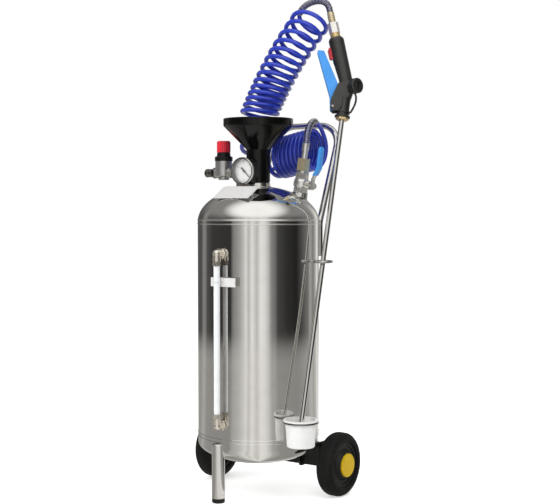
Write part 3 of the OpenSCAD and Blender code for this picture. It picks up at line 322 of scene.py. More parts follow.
class Looks:
    """All finishes of the sprayer, and which CAD node wears which."""

    TURNED, MOULDED = Relief.TURNED, Relief.MOULDED
    FINISHES = (
        Finish("mirror_steel", (0.76, 0.75, 0.73), (0.56, 0.55, 0.52), 0.25, 1.0, 0.045, 0.035,
               Relief.ROLLED, 26, 0.00028, edge=0.0),
        Finish("bright_steel", (0.68, 0.675, 0.66), (0.42, 0.41, 0.39), 0.3, 1.0, 0.16, 0.1, TURNED, 700),
        Finish("wire_steel", (0.58, 0.575, 0.56), (0.22, 0.21, 0.20), 0.5, 1.0, 0.2, 0.12, TURNED, 900),
        Finish("nickel_plate", (0.80, 0.75, 0.66), (0.46, 0.40, 0.31), 0.3, 0.85, 0.17, 0.08,
               TURNED, 800, 0.00001),
        Finish("dark_plate", (0.30, 0.29, 0.27), (0.10, 0.09, 0.08), 0.5, 1.0, 0.22, 0.14, TURNED, 800),
        Finish("cast_zinc", (0.60, 0.595, 0.58), (0.34, 0.33, 0.32), 0.4, 0.85, 0.3, 0.14, MOULDED, 900),
        Finish("pale_brass", (0.80, 0.70, 0.47), (0.50, 0.40, 0.22), 0.35, 0.75, 0.26, 0.14, TURNED, 800),
        Finish("valve_chrome", (0.80, 0.785, 0.75), (0.50, 0.48, 0.45), 0.35, 0.8, 0.22, 0.14, TURNED, 800),
        Finish("raw_brass", (0.76, 0.58, 0.29), (0.44, 0.29, 0.12), 0.4, 0.8, 0.26, 0.14, TURNED, 800),
        Finish("funnel_black", (0.003, 0.003, 0.003), (0.010, 0.009, 0.008), 0.25, 0.0, 0.09, 0.05,
               MOULDED, 180, 0.00002, 0.2, mirror=0.15),
        Finish("moulded_black", (0.006, 0.006, 0.006), (0.024, 0.023, 0.021), 0.3, 0.0, 0.36, 0.16,
               MOULDED, 1500, 0.00005, mirror=0.35),
        Finish("gun_black", (0.010, 0.010, 0.0095), (0.028, 0.027, 0.025), 0.3, 0.0, 0.34, 0.12,
               MOULDED, 1500, 0.00004, 0.1, mirror=0.8),
        Finish("painted_black", (0.005, 0.005, 0.005), (0.03, 0.028, 0.025), 0.25, 0.0, 0.36, 0.16,
               MOULDED, 600, 0.00006, 0.1, mirror=0.3),
        Finish("tyre_rubber", (0.005, 0.005, 0.005), (0.024, 0.023, 0.021), 0.35, 0.0, 0.55, 0.2,
               Relief.TREAD, 190, 0.0006, mirror=0.25),
        Finish("seal_rubber", (0.012, 0.012, 0.012), (0.05, 0.05, 0.05), 0.3, 0.0, 0.6, 0.1, MOULDED),
        Finish("hub_yellow", (0.68, 0.45, 0.008), (0.45, 0.27, 0.006), 0.3, 0.0, 0.34, 0.14,
               MOULDED, 700, 0.00005, mirror=0.3),
        Finish("knob_red", (0.78, 0.020, 0.046), (0.38, 0.01, 0.02), 0.3, 0.0, 0.28, 0.12,
               MOULDED, 900, 0.00004, 0.3),
        Finish("button_red", (0.42, 0.014, 0.024), (0.24, 0.008, 0.012), 0.3, 0.0, 0.3, 0.12, MOULDED, 900),
        Finish("lever_blue", (0.046, 0.29, 0.75), (0.03, 0.17, 0.52), 0.3, 0.0, 0.34, 0.14,
               MOULDED, 1100, 0.00005, 0.15),
        Finish("hose_blue", (0.018, 0.044, 0.48), (0.009, 0.022, 0.30), 0.25, 0.0, 0.16, 0.08,
               MOULDED, 300, 0.00004, 0.9, edge=0.0),
        Finish("dial_white", (0.86, 0.86, 0.84), (0.74, 0.73, 0.70), 0.3, 0.0, 0.5, 0.1, edge=0.0),
        Finish("scale_ink", (0.03, 0.03, 0.03), (0.08, 0.08, 0.08), 0.3, 0.0, 0.6, 0.1, edge=0.0),
        Finish("tag_white", (0.70, 0.70, 0.69), (0.58, 0.58, 0.56), 0.35, 0.0, 0.42, 0.1, MOULDED),
        Finish("cup_white", (0.85, 0.85, 0.84), (0.72, 0.71, 0.68), 0.3, 0.0, 0.34, 0.12,
               MOULDED, 500, 0.00005, 0.1, 0.15),
        Finish("plate_metal", (0.80, 0.80, 0.785), (0.66, 0.66, 0.65), 0.35, 0.2, 0.36, 0.12, TURNED, 500),
        Finish("milky_tube", (0.86, 0.88, 0.89), (0.74, 0.75, 0.76), 0.3, 0.0, 0.24, 0.1,
               MOULDED, 200, 0.00003, 0.3, 0.7),
        Finish("gauge_glass", (1.0, 1.0, 1.0), (0.92, 0.94, 0.95), 0.15, 0.0, 0.03, 0.02, edge=0.0, alpha=0.07),
    )

    WEARERS = {
        "mirror_steel": ("tank_shell", "top_head", "bottom_head", "leg_tube", "handle_frame", "filler_neck",
                         "outlet_boss", "lance_tube"),
        "bright_steel": ("axle", "gauge_bezel", "dip_tube", "valve_ball", "trigger_pin", "valve_pin"),
        "wire_steel": ("tank_hose_guard", "gun_hose_guard", "lance_ring"),
        "nickel_plate": ("gauge_stub", "regulator_elbow", "level_elbow_upper", "level_elbow_lower",
                         "level_nuts"),
        "cast_zinc": ("regulator_body",),
        "valve_chrome": ("valve_body", "lever_nut", "valve_lever", "tank_hose_tail"),
        "pale_brass": ("tank_hose_nut",),
        "dark_plate": ("air_inlet", "cup_ring"),
        "raw_brass": ("lance_nut", "foam_nozzle"),
        "inlet_metals": ("gun_inlet",),
        "funnel_black": ("funnel",),
        "moulded_black": ("leg_foot", "wheel_spacers", "left_rim", "right_rim", "gauge_case", "gauge_needle",
                          "regulator_bonnet"),
        "gun_black": ("gun_body", "gun_cap"),
        "painted_black": ("axle_bracket",),
        "tyre_rubber": ("left_tyre", "right_tyre"),
        "seal_rubber": ("neck_seal",),
        "hub_yellow": ("left_hub_cap", "right_hub_cap"),
        "knob_red": ("regulator_knob",),
        "button_red": ("lock_button",),
        "lever_blue": ("lever_sleeve", "trigger"),
        "hose_blue": ("spiral_hose",),
        "dial_white": ("gauge_dial",),
        "tag_white": ("level_tag",),
        "cup_white": ("drip_cup",),
        "plate_metal": ("nameplate",),
        "milky_tube": ("level_tube",),
        "gauge_glass": ("gauge_lens",),
    }

    def __init__(self) -> None:
        """Makes every material once."""
        inlet = StackedFinish(
            "inlet_metals", (0.76, 0.58, 0.29), (0.44, 0.29, 0.12), 0.3, 0.8, 0.22, 0.12, Relief.TURNED, 800,
            foot=tuple(from_tank(GUN.on_grip(UP * GUN.grip_len))), along=tuple(GUN.turn @ GUN.lean @ UP),
            upper=((0.009, (0.84, 0.82, 0.80)), (0.031, (0.80, 0.70, 0.47))))
        self.materials = {finish.name: finish.build() for finish in (*self.FINISHES, inlet)}

    def wear(self, piece: Piece, finish: str) -> None:
        """Puts a finish on every slot of a piece."""
        piece.data.materials.clear()
        piece.data.materials.append(self.materials[finish])

    def dress_nodes(self) -> None:
        """Puts each CAD node's finish on its own material slots."""
        for finish, names in self.WEARERS.items():
            for name in names:
                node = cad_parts[name]
                for slot in node.material_slots:
                    slot.material = self.materials[finish]
                if not node.material_slots:
                    node.data.materials.append(self.materials[finish])
        LOG.info("dressed %d nodes", sum(len(names) for names in self.WEARERS.values()))


def add(name: str, data: bpy.types.ID) -> Piece:
    """A new object in the scene."""
    made = bpy.data.objects.new(name, data)
    bpy.context.scene.collection.objects.link(made)
    return made


def pick(piece: Piece) -> None:
    """Selects one piece alone and makes it active."""
    bpy.ops.object.select_all(action="DESELECT")
    piece.select_set(True)
    bpy.context.view_layer.objects.active = piece


def settle(piece: Piece) -> Piece:
    """Applies a piece's place, turn and size to its mesh."""
    pick(piece)
    bpy.ops.object.transform_apply(location=True, rotation=True, scale=True)
    return piece


def modify(piece: Piece, kind: str, **settings: Any) -> None:
    """Adds a modifier and applies it."""
    pick(piece)
    modifier = piece.modifiers.new(kind.lower(), kind)
    for name, value in settings.items():
        setattr(modifier, name, value)
    bpy.ops.object.modifier_apply(modifier=modifier.name)


def smooth(piece: Piece, degrees: float) -> None:
    """Shades smooth below an angle."""
    pick(piece)
    bpy.ops.object.shade_smooth_by_angle(angle=radians(degrees))


def join(pieces: Sequence[Piece], name: str) -> Piece:
    """Joins pieces into the first of them."""
    pick(pieces[0])
    for piece in pieces:
        piece.select_set(True)
    bpy.ops.object.join()
    pieces[0].name = pieces[0].data.name = name
    return pieces[0]


def curve(name: str, points: Sequence[Vector], radius: float, sides: int, closed: bool = False) -> Piece:
    """A round tube along points.

    Args:
        name: the piece's name.
        points: line of points in metres.
        radius: tube radius in metres.
        sides: bevel steps in a quarter turn.
        closed: joins the last point to the first.

    Returns:
        A curve object of one spline.
    """
    line = bpy.data.curves.new(name, "CURVE")
    line.dimensions = "3D"
    line.bevel_depth = radius
    line.bevel_resolution = sides
    line.use_fill_caps = True
    spline = line.splines.new("POLY")
    spline.points.add(len(points) - 1)
    for target, point in zip(spline.points, points):
        target.co = (*point, 1.0)
    spline.use_smooth = True
    spline.use_cyclic_u = closed
    return add(name, line)


def to_mesh(piece: Piece) -> Piece:
    """Turns a curve or text into a mesh piece."""
    pick(piece)
    bpy.ops.object.convert(target="MESH")
    return settle(bpy.context.view_layer.objects.active)


def put(piece: Piece, place: Matrix) -> Piece:
    """Moves a piece to a place and applies it to its mesh."""
    piece.matrix_world = place
    return settle(piece)


def copy(piece: Piece, name: str, place: Optional[Matrix] = None) -> Piece:
    """A copy with its own mesh, at a place of its own where one is given."""
    made = add(name, piece.data.copy())
    made.data.name = name
    return put(made, place) if place is not None else made


def drop(piece: Piece) -> None:
    """Deletes a pattern or a cutting tool after its use."""
    bpy.data.objects.remove(piece, do_unlink=True)


@contextmanager
def editing(piece: Piece) -> Iterator[None]:
    """Edit mode, with all of a piece selected."""
    pick(piece)
    bpy.ops.object.mode_set(mode="EDIT")
    bpy.ops.mesh.select_all(action="SELECT")
    yield
    bpy.ops.object.mode_set(mode="OBJECT")


def extrude(height: float) -> None:
    """Draws the selected faces up by a height in millimetres."""
    bpy.ops.mesh.extrude_region_move(TRANSFORM_OT_translate={"value": (0.0, 0.0, height * MM)})


def seal(piece: Piece) -> None:
    """Merges double points and turns all faces outwards."""
    with editing(piece):
        bpy.ops.mesh.remove_doubles(threshold=DOUBLES)
        bpy.ops.mesh.normals_make_consistent(inside=False)


def turned(name: str, rings: Sequence[tuple[float, float]], sides: int = 48) -> Piece:
    """A round piece about Z, drawn out ring by ring from a disc.

    Args:
        name: the piece's name.
        rings: radius and height of each ring in millimetres.
        sides: faces around.

    Returns:
        The piece, closed at both ends.
    """
    radius, height = rings[0]
    bpy.ops.mesh.primitive_circle_add(vertices=sides, radius=radius * MM, fill_type="NGON",
                                      location=(0.0, 0.0, height * MM))
    piece = settle(bpy.context.object)
    piece.name = piece.data.name = name
    with editing(piece):
        for wide, high in rings[1:]:
            extrude(high - height)
            bpy.ops.transform.resize(value=(wide / radius, wide / radius, 1.0))
            radius, height = wide, high
    seal(piece)
    return piece


def around(axis: Vector, side: Vector, angle: float) -> Vector:
    """Unit vector square to a unit axis, at an angle from the side given."""
    n = (side - axis * side.dot(axis)).normalized()
    return n * cos(angle) + axis.cross(n) * sin(angle)


def bezier(controls: Sequence[Vector], t: float) -> Vector:
    """Point at t of a curve with four control points."""
    a, b, c, d = controls
    s = 1.0 - t
    return a * s ** 3 + b * (3 * t * s * s) + c * (3 * t * t * s) + d * t ** 3


def lookup(table: Sequence[tuple[float, float]], t: float) -> float:
    """Straight-line value between the entries of a table, held at its ends."""
    if t <= table[0][0]:
        return table[0][1]
    for (low, first), (high, second) in zip(table, table[1:]):
        if t <= high:
            return first + (second - first) * (t - low) / (high - low)
    return table[-1][1]


@dataclass
class SmoothLine:
    """A smooth line through points, each reached at its own knot."""

    points: Sequence[Vector]
    knots: Sequence[float]

    @classmethod
    def by_length(cls, points: Sequence[Vector]) -> "SmoothLine":
        """A line whose knots are the lengths along it."""
        knots = [0.0]
        for first, second in zip(points, points[1:]):
            knots.append(knots[-1] + (second - first).length)
        return cls(points, knots)

    def _slope(self, i: int) -> Vector:
        """Slope at point i."""
        low, high = max(i - 1, 0), min(i + 1, len(self.points) - 1)
        return (self.points[high] - self.points[low]) / (self.knots[high] - self.knots[low])

    def at(self, t: float) -> Vector:
        """Point at knot value t."""
        i = max(k for k in range(len(self.knots) - 1) if k == 0 or self.knots[k] <= t)
        h = self.knots[i + 1] - self.knots[i]
        u = (t - self.knots[i]) / h
        v = 1.0 - u
        return (self.points[i] * (v * v * (1 + 2 * u)) + self._slope(i) * (v * v * u * h)
                + self.points[i + 1] * (u * u * (1 + 2 * v)) - self._slope(i + 1) * (u * u * v * h))


@dataclass
class GunFrame:
    """Place of the lance and gun: local Z runs up the lance, local X to the trigger."""

    top: Vector = Vector((141.0, 87.0, 745.0))
    tilt: float = 14.4
    compass: float = 91.5
    roll: float = 122.7
    grip_foot: Vector = Vector((-6.0, 0.0, 45.0))
    grip_lean: float = 19.0
    grip_len: float = 122.0

    @property
    def turn(self) -> Matrix:
        """Rotation from the gun's frame to the tank's."""
        return spin(self.compass, "Z") @ spin(self.tilt, "Y") @ spin(self.roll, "Z")

    @property
    def lean(self) -> Matrix:
        """Rotation from the grip's frame to the gun's."""
        return spin(self.grip_lean, "Y")

    def point(self, local: Vector) -> Vector:
        """Tank-frame point of a gun point, in millimetres."""
        return self.top + self.turn @ local

    def on_grip(self, local: Vector) -> Vector:
        """Tank-frame point of a grip point, in millimetres."""
        return self.point(self.grip_foot + self.lean @ local)


GUN = GunFrame()


@dataclass
class ValveFrame:
    """Place of the outlet valve, which leans to the right on its boss."""

    foot: Vector = Vector((68.0, 48.0, 598.0))
    lean: float = 8.0

    @property
    def turn(self) -> Matrix:
        """Rotation from the valve's frame to the tank's."""
        return spin(self.lean, "Y")

    def point(self, local: Vector) -> Vector:
        """Tank-frame point of a point above the boss, in millimetres."""
        return self.foot + self.turn @ local


VALVE = ValveFrame()


@dataclass
class SpiralHose:
    """The blue hose: a lying coil, a bend and a rising, stretched coil."""

    diameter: float = 9.0
    radii: tuple = ((8, 39.5), (10.2, 36.5), (18, 35.5))
    start: float = 80.0
    per_turn: int = 24
    per_lead: int = 20
    per_curl: int = 16
    valve_tail: float = 98.0
    gun_tail: float = 175.0
    valve_pull: tuple = (40, 56)
    gun_pull: tuple = (44, 38)
    first: float = 0.18
    spine: tuple = (
        (70, 104, 686), (26, 104, 677), (-12, 104, 670), (-33, 104, 673), (-68, 104, 692), (-83, 104, 730),
        (-76, 104, 753), (-36, 99, 818), (-8, 99, 860), (13, 101, 890), (40, 105, 925), (57, 108, 947),
    )
    axis: tuple = (
        (-1, 0, 0), (-1, 0, 0), (-1, 0, 0), (-1, 0, 0.2), (-0.7, 0, 0.7), (-0.1, 0, 1),
        (0.1, 0.1, 1), (0.16, 0.3, 0.94), (0.17, 0.42, 0.89), (0.16, 0.52, 0.84), (0.14, 0.61, 0.78),
        (0.13, 0.65, 0.74),
    )
    turns: tuple = (0, 4.4, 8.1, 9.2, 10.2, 11.4, 12, 17.8, 20.9, 23, 25.1, 26.45)
    guard_radius: float = 5.75
    guard_wire: float = 2.1
    look: float = 0.1
    valve_curls: int = 20
    gun_curls: int = 30
    valve_side: Vector = Vector((1, 0, 0))
    gun_side: Vector = Vector((-0.36, 0.93, 0))
    valve_reach: int = 10
    gun_reach: int = 2

    def __post_init__(self) -> None:
        """Works out the two leads."""
        self.middle = SmoothLine([Vector(p) for p in self.spine], self.turns)
        self.end = self.turns[-1]
        first, last = self.coil(self.first), self.coil(self.end)
        first_dir = (self.coil(self.first + 0.01) - first).normalized()
        last_dir = (last - self.coil(self.end - 0.01)).normalized()
        self.gun_end = GUN.on_grip(UP * self.gun_tail)
        self.gun_dir = GUN.turn @ GUN.lean @ UP
        self.valve_end = VALVE.point(UP * self.valve_tail)
        self.valve_dir = VALVE.turn @ UP
        d = self.diameter
        leave, meet = self.valve_pull
        self.valve_lead = (self.valve_end + self.valve_dir * d, self.valve_end + self.valve_dir * (d + leave),
                           first - first_dir * meet, first)
        leave, meet = self.gun_pull
        self.gun_lead = (last, last + last_dir * leave, self.gun_end + self.gun_dir * (d + meet),
                         self.gun_end + self.gun_dir * d)

    def coil(self, turn: float) -> Vector:
        """Point of the wound stretch after so many turns."""
        parts = [lookup(list(zip(self.turns, [a[c] for a in self.axis])), turn) for c in range(3)]
        outwards = around(Vector(parts).normalized(), FRONT, radians(self.start + 360.0 * turn))
        return self.middle.at(turn) + outwards * lookup(self.radii, turn)

    def route(self) -> list[Vector]:
        """The hose's whole middle line, in millimetres about the tank's axis."""
        shares = [k / self.per_lead for k in range(self.per_lead + 1)]
        begin, end = [int(turn * self.per_turn) + 1 for turn in (self.first, self.end)]
        lead_in = [bezier(self.valve_lead, share) for share in shares]
        turns = [self.coil(k / self.per_turn) for k in range(begin, end)]
        lead_out = [bezier(self.gun_lead, share) for share in shares]
        foot = [self.valve_end + self.valve_dir * (self.diameter * k / 4) for k in range(4)]
        tail = [self.gun_end + self.gun_dir * (self.diameter * k / 4) for k in (3, 2, 1, 0)]
        return foot + lead_in + turns + lead_out + tail

    def build(self, looks: Looks) -> None:
        points = [from_tank(p) for p in self.route()]
        hose = curve("hose_spiral", points, self.diameter * MM / 2, 5)
        looks.wear(hose, "hose_blue")
        guards = [
            self._guard("spring_guard_valve", "tank_hose_guard", looks, self.valve_curls, self.valve_side),
            self._guard("spring_guard_gun", "gun_hose_guard", looks, self.gun_curls, self.gun_side),
        ]
        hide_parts("spiral_hose")
        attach(hose, ROOT)

    def _guard(self, name: str, node: str, looks: Looks, curls: int, side: Vector) -> Piece:
        """A tightly wound spring around a lead of the hose.

        Args:
            name: the piece's name.
            node: CAD node that it replaces.
            looks: the finishes.
            curls: number of curls.
            side: direction beside the lead's bend.

        Returns:
            The spring.
        """
        steps = self.per_curl
        if node == "tank_hose_guard":
            line = [self.valve_end] + [bezier(self.valve_lead, k / steps) for k in range(self.valve_reach)]
        else:
            line = [self.gun_end] + [bezier(self.gun_lead, k / steps) for k in range(steps, self.gun_reach, -1)]
        middle = SmoothLine.by_length(line)
        total = middle.knots[-1]
        points = []
        for k in range(curls * steps + 1):
            t = total * k / (curls * steps)
            ahead, behind = min(t + self.look, total), max(t - self.look, 0.0)
            along = (middle.at(ahead) - middle.at(behind)).normalized()
            outwards = around(along, side, 2 * pi * k / steps)
            points.append(from_tank(middle.at(t) + outwards * self.guard_radius))
        guard = to_mesh(curve(name, points, self.guard_wire * MM / 2, 1))
        smooth(guard, 60)
        fasten(guard, looks, "wire_steel", "steel_wire", node)
        return guard


def head_z(radius: float) -> float:
    """Height of the top head's outside at a distance from the tank's axis, in millimetres."""
    return Tank.seam_high + Tank.head_rise * sqrt(1.0 - (radius / Tank.radius) ** 2)


def fasten(piece: Piece, looks: Looks, finish: str, slot: str, *nodes: str, body: str = ROOT) -> None:
    """Dresses a finished piece, makes it ride on its body and stand for the CAD nodes named.

    Args:
        piece: the piece.
        looks: the finishes.
        finish: its finish.
        slot: not used.
        nodes: CAD nodes that it replaces.
        body: body that it rides on.
    """
    looks.wear(piece, finish)
    if nodes:
        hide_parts(*nodes)
    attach(piece, body)
    LOG.info("%s: %d faces", piece.name, len(piece.data.polygons))


@dataclass
class Tank:
    """The pressed heads, drawn as true ellipses, and the weld beads on the tank."""

    radius: float = 120.0
    seam_low: float = 105.0
    seam_high: float = 540.0
    head_rise: float = 70.0
    head_drop: float = 41.0
    pole: float = 89.5
    ridge: float = 1.3
    ridge_sunk: float = 0.6
    ridge_at: float = 3.5
    steps: int = 40
    sides: int = 160
    loop_steps: int = 72
    neck_loop: float = 24.4
    boss_loop: float = 15.3
    lance_ring: tuple = (142.9, 14.9, 464.0, 3.0)
    cup_ring: tuple = (146.0, -66.0, 165.1, 2.2)
    ripple: float = 2.2
    ripple_depth: float = 0.7
    halvings: int = 24
    search: tuple = (-60.0, 0.0)
    ridge_arc: tuple = (-60, 61, 15)
    ridge_start: float = 5.0
    plain_start: float = 1.0
    top_bead: float = 1.3
    lance_bead: float = 1.0
    cup_bead: float = 0.9

    def build(self, looks: Looks) -> None:
        """Makes the heads and the beads."""
        out, up = self.radius - self.ridge_sunk, self.seam_high + self.ridge_at
        ridge = [(out + self.ridge * cos(a), up + self.ridge * sin(a))
                 for a in (radians(d) for d in range(*self.ridge_arc))]
        self._head("top_head_pressed", "top_head", ridge, self.seam_high, self.head_rise, looks)
        self._head("bottom_head_pressed", "bottom_head", [], self.seam_low, -self.head_drop, looks)
        for name, points, width in self._beads():
            self._bead(name, points, width, looks)

    def _head(self, name: str, node: str, ridge: Sequence[tuple[float, float]], seam: float, rise: float,
              looks: Looks) -> None:
        """One head, extruded ring by ring from its seam.

        Args:
            name: the piece's name.
            node: CAD node that it replaces.
            ridge: rings of the bead above its seam, if it has one.
            seam: height of its seam.
            rise: its rise from there, negative for the bottom.
            looks: the finishes.
        """
        start = self.ridge_start if ridge else self.plain_start
        angles = [radians(start + (self.pole - start) * k / self.steps) for k in range(self.steps + 1)]
        arc = [(self.radius * cos(a), seam + rise * sin(a)) for a in angles]
        head = turned(name, [(self.radius, seam), *ridge, *arc], self.sides)
        put(head, Matrix.Translation(TANK * MM))
        smooth(head, 50)
        fasten(head, looks, "mirror_steel", "polished_steel", node)

    def _beads(self) -> list[tuple[str, list[Vector], float]]:
        """Names, middle lines and widths of the beads, in millimetres about the tank's axis."""
        turn = [2 * pi * k / self.loop_steps for k in range(self.loop_steps)]
        ring = [Vector((cos(a), sin(a), 0.0)) for a in turn]
        neck = [unit * self.neck_loop + UP * head_z(self.neck_loop) for unit in ring]
        boss = [self._at_boss(unit * self.boss_loop) for unit in ring]
        return [
            ("weld_bead_neck", neck, self.top_bead),
            ("weld_bead_outlet", boss, self.top_bead),
            ("weld_bead_lance_ring", self._around(*self.lance_ring, turn), self.lance_bead),
            ("weld_bead_cup_ring", self._around(*self.cup_ring, turn), self.cup_bead),
        ]

    @staticmethod
    def _at_boss(local: Vector) -> Vector:
        """Point of the top head below a point of the valve's own frame."""
        low, high = Tank.search
        for _ in range(Tank.halvings):
            middle = (low + high) / 2
            spot = VALVE.point(local + UP * middle)
            if spot.z > head_z(spot.xy.length):
                high = middle
            else:
                low = middle
        return VALVE.point(local + UP * low)

    def _around(self, x: float, y: float, z: float, loop: float, turn: Sequence[float]) -> list[Vector]:
        """Small loop on the tank's wall around the place that lies towards x, y at height z."""
        middle = atan2(y, x)
        angles = [middle + loop * cos(a) / self.radius for a in turn]
        return [Vector((self.radius * cos(b), self.radius * sin(b), z + loop * sin(a)))
                for a, b in zip(turn, angles)]

    def _bead(self, name: str, points: Sequence[Vector], width: float, looks: Looks) -> None:
        """A rippled weld bead along a closed line."""
        bead = to_mesh(curve(name, [from_tank(p) for p in points], width * MM, 2, True))
        ripple = bpy.data.textures.new(name, "CLOUDS")
        ripple.noise_scale = self.ripple * MM
        modify(bead, "SUBSURF", levels=1, render_levels=1)
        modify(bead, "DISPLACE", texture=ripple, strength=self.ripple_depth * MM, mid_level=0.5,
               texture_coords="LOCAL")
        smooth(bead, 60)
        fasten(bead, looks, "bright_steel", "bright_steel")


@dataclass
class Gauge:
    """Scale of the pressure gauge, turned so that its zero lies at the lower right."""

    centre: Vector = Vector((-1.5, -43.0, 639.0))
    radius: float = 21.8
    zero: float = -45.0
    sweep: float = 270.0
    marks: int = 50
    values: tuple = (0, 2, 4, 6, 8, 10)
    per_number: int = 10
    long_mark: tuple = (3.0, 0.42)
    short_mark: tuple = (1.7, 0.24)
    arc_steps: int = 90
    arc_lift: float = 0.04
    arc_line: float = 0.12
    text_size: float = 4.2
    text_inset: float = 5.6
    print_t: float = 0.06

    def place(self, angle: float, radius: float, turn: float = 0.0) -> Matrix:
        """Place on the dial: local X runs outwards, local Z out of the dial."""
        return (Matrix.Translation(from_tank(self.centre)) @ spin(90.0, "X") @ spin(angle, "Z")
                @ Matrix.Translation((radius * MM, 0.0, 0.0)) @ spin(turn, "Z"))

    def build(self, looks: Looks) -> None:
        """Prints the marks, the arc and the numbers."""
        long_mark, short_mark = self._mark(*self.long_mark), self._mark(*self.short_mark)
        printed = []
        for k in range(self.marks + 1):
            angle = self.zero - self.sweep * k / self.marks
            shape = long_mark if k % self.per_number == 0 else short_mark
            printed.append(copy(shape, f"mark_{k}", self.place(angle, self.radius)))
        drop(long_mark)
        drop(short_mark)
        angles = [self.zero - self.sweep * k / self.arc_steps for k in range(self.arc_steps + 1)]
        arc = [self.place(angle, self.radius) @ (UP * self.arc_lift * MM) for angle in angles]
        printed.append(to_mesh(curve("scale_arc", arc, self.arc_line * MM, 1)))
        fasten(join(printed, "gauge_scale"), looks, "scale_ink", "black_satin")
        numbers = [self._number(value) for value in self.values]
        fasten(join(numbers, "gauge_numbers"), looks, "scale_ink", "black_satin")

    def _mark(self, length: float, width: float) -> Piece:
        """A printed stroke that ends on the arc, made from a plane."""
        bpy.ops.mesh.primitive_plane_add(size=MM)
        mark = bpy.context.object
        with editing(mark):
            bpy.ops.transform.resize(value=(length, width, 1.0))
            bpy.ops.transform.translate(value=(-length / 2 * MM, 0.0, 0.0))
            extrude(self.print_t)
        seal(mark)
        return mark

    def _number(self, value: int) -> Piece:
        """A plain number inside its long mark, turned with the dial."""
        angle = self.zero - self.sweep * value / self.values[-1]
        bpy.ops.object.text_add()
        text = bpy.context.object
        text.data.body = str(value)
        text.data.size = self.text_size * MM
        text.data.align_x = text.data.align_y = "CENTER"
        text.data.extrude = self.print_t * MM / 2
        place = self.place(angle, self.radius - self.text_inset, 90.0 - angle)
        return put(to_mesh(text), place)


@dataclass
class Softened:
    """Moulded pieces whose edges the CAD leaves square: a copy of the node, rounded all over.

    A guest is a node that slides in the piece along its travel, with some play, in millimetres.
    """

    node: str
    name: str
    finish: str
    slot: str
    body: str = ROOT
    voxel: float = 0.7
    rounds: int = 6
    keep: float = 0.5
    guest: str = ""
    travel: tuple = (0.0, 0.0, 0.0)
    play: float = 0.5

    CUTS = (0.0, 0.5, 1.0)

    def build(self, looks: Looks) -> None:
        """Copies, remeshes, rounds and thins the shape, and cuts the way of a piece that slides in it."""
        piece = copy(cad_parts[self.node], self.name)
        seal(piece)
        modify(piece, "REMESH", mode="VOXEL", voxel_size=self.voxel * MM)
        modify(piece, "SMOOTH", factor=0.5, iterations=self.rounds)
        modify(piece, "DECIMATE", ratio=self.keep)
        for share in self.CUTS if self.guest else ():
            moved = Matrix.Translation(Vector(self.travel) * share * MM)
            way = copy(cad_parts[self.guest], "way", moved)
            seal(way)
            modify(way, "DISPLACE", strength=self.play * MM, mid_level=0.0)
            modify(piece, "BOOLEAN", object=way, operation="DIFFERENCE", solver="EXACT")
            drop(way)
        smooth(piece, 70)
        fasten(piece, looks, self.finish, self.slot, self.node, body=self.body)


@dataclass
class Plate:
    """Pressed border of the bare plate on the top head."""

    width: float = 84.0
    length: float = 44.0
    margin: float = 2.6
    line: float = 1.0
    lean: float = 31.0
    y: float = 73.0
    lift: float = 1.6
    corner: float = 4.0
    raised: float = 0.35
    top: float = 1.15

    def build(self, looks: Looks) -> None:
        """Rounds the corners of a plane shrunk by the margin, insets it once, keeps the band around the hole,
        and raises it.
        """
        bpy.ops.mesh.primitive_plane_add(size=MM)
        border = bpy.context.object
        border.name = border.data.name = "plate_border"
        with editing(border):
            wide, long = self.width - 2 * self.margin, self.length - 2 * self.margin
            bpy.ops.transform.resize(value=(wide, long, 1.0))
            bpy.ops.mesh.bevel(offset=self.corner * MM, segments=5, affect="VERTICES")
            bpy.ops.mesh.select_all(action="SELECT")
            bpy.ops.mesh.inset(thickness=self.line * MM)
            bpy.ops.mesh.delete(type="FACE")
            bpy.ops.mesh.select_all(action="SELECT")
            extrude(self.raised)
        seal(border)
        place = (Matrix.Translation(from_tank(Vector((0.0, -self.y, head_z(self.y) + self.lift))))
                 @ spin(self.lean, "X") @ Matrix.Translation(UP * self.top * MM))
        put(border, place)
        fasten(border, looks, "plate_metal", "plate")


@dataclass
class LegCap:
    """Pressed end that closes the leg's tube against the tank's wall."""

    x: float = -11.0
    y: float = -117.0
    z: float = 112.0
    wall: float = 120.05
    wall_half: float = 20.0
    wall_sides: int = 160
    rings: tuple = ((9.0, -1.5), (12.5, 0.0), (12.2, 1.0), (10.8, 2.1), (7.5, 2.9), (3.5, 3.2), (0.5, 3.25))

    def build(self, looks: Looks) -> None:
        """Turns the end and cuts it to the wall."""
        place = from_tank(Vector((self.x, self.y, self.z)))
        cap = put(turned("leg_end_cap", self.rings), Matrix.Translation(place))
        ends = [(self.wall, -self.wall_half), (self.wall, self.wall_half)]
        wall = put(turned("wall", ends, self.wall_sides), Matrix.Translation(from_tank(UP * self.z)))
        modify(cap, "BOOLEAN", object=wall, operation="DIFFERENCE", solver="EXACT")
        drop(wall)
        smooth(cap, 40)
        fasten(cap, looks, "mirror_steel", "polished_steel")


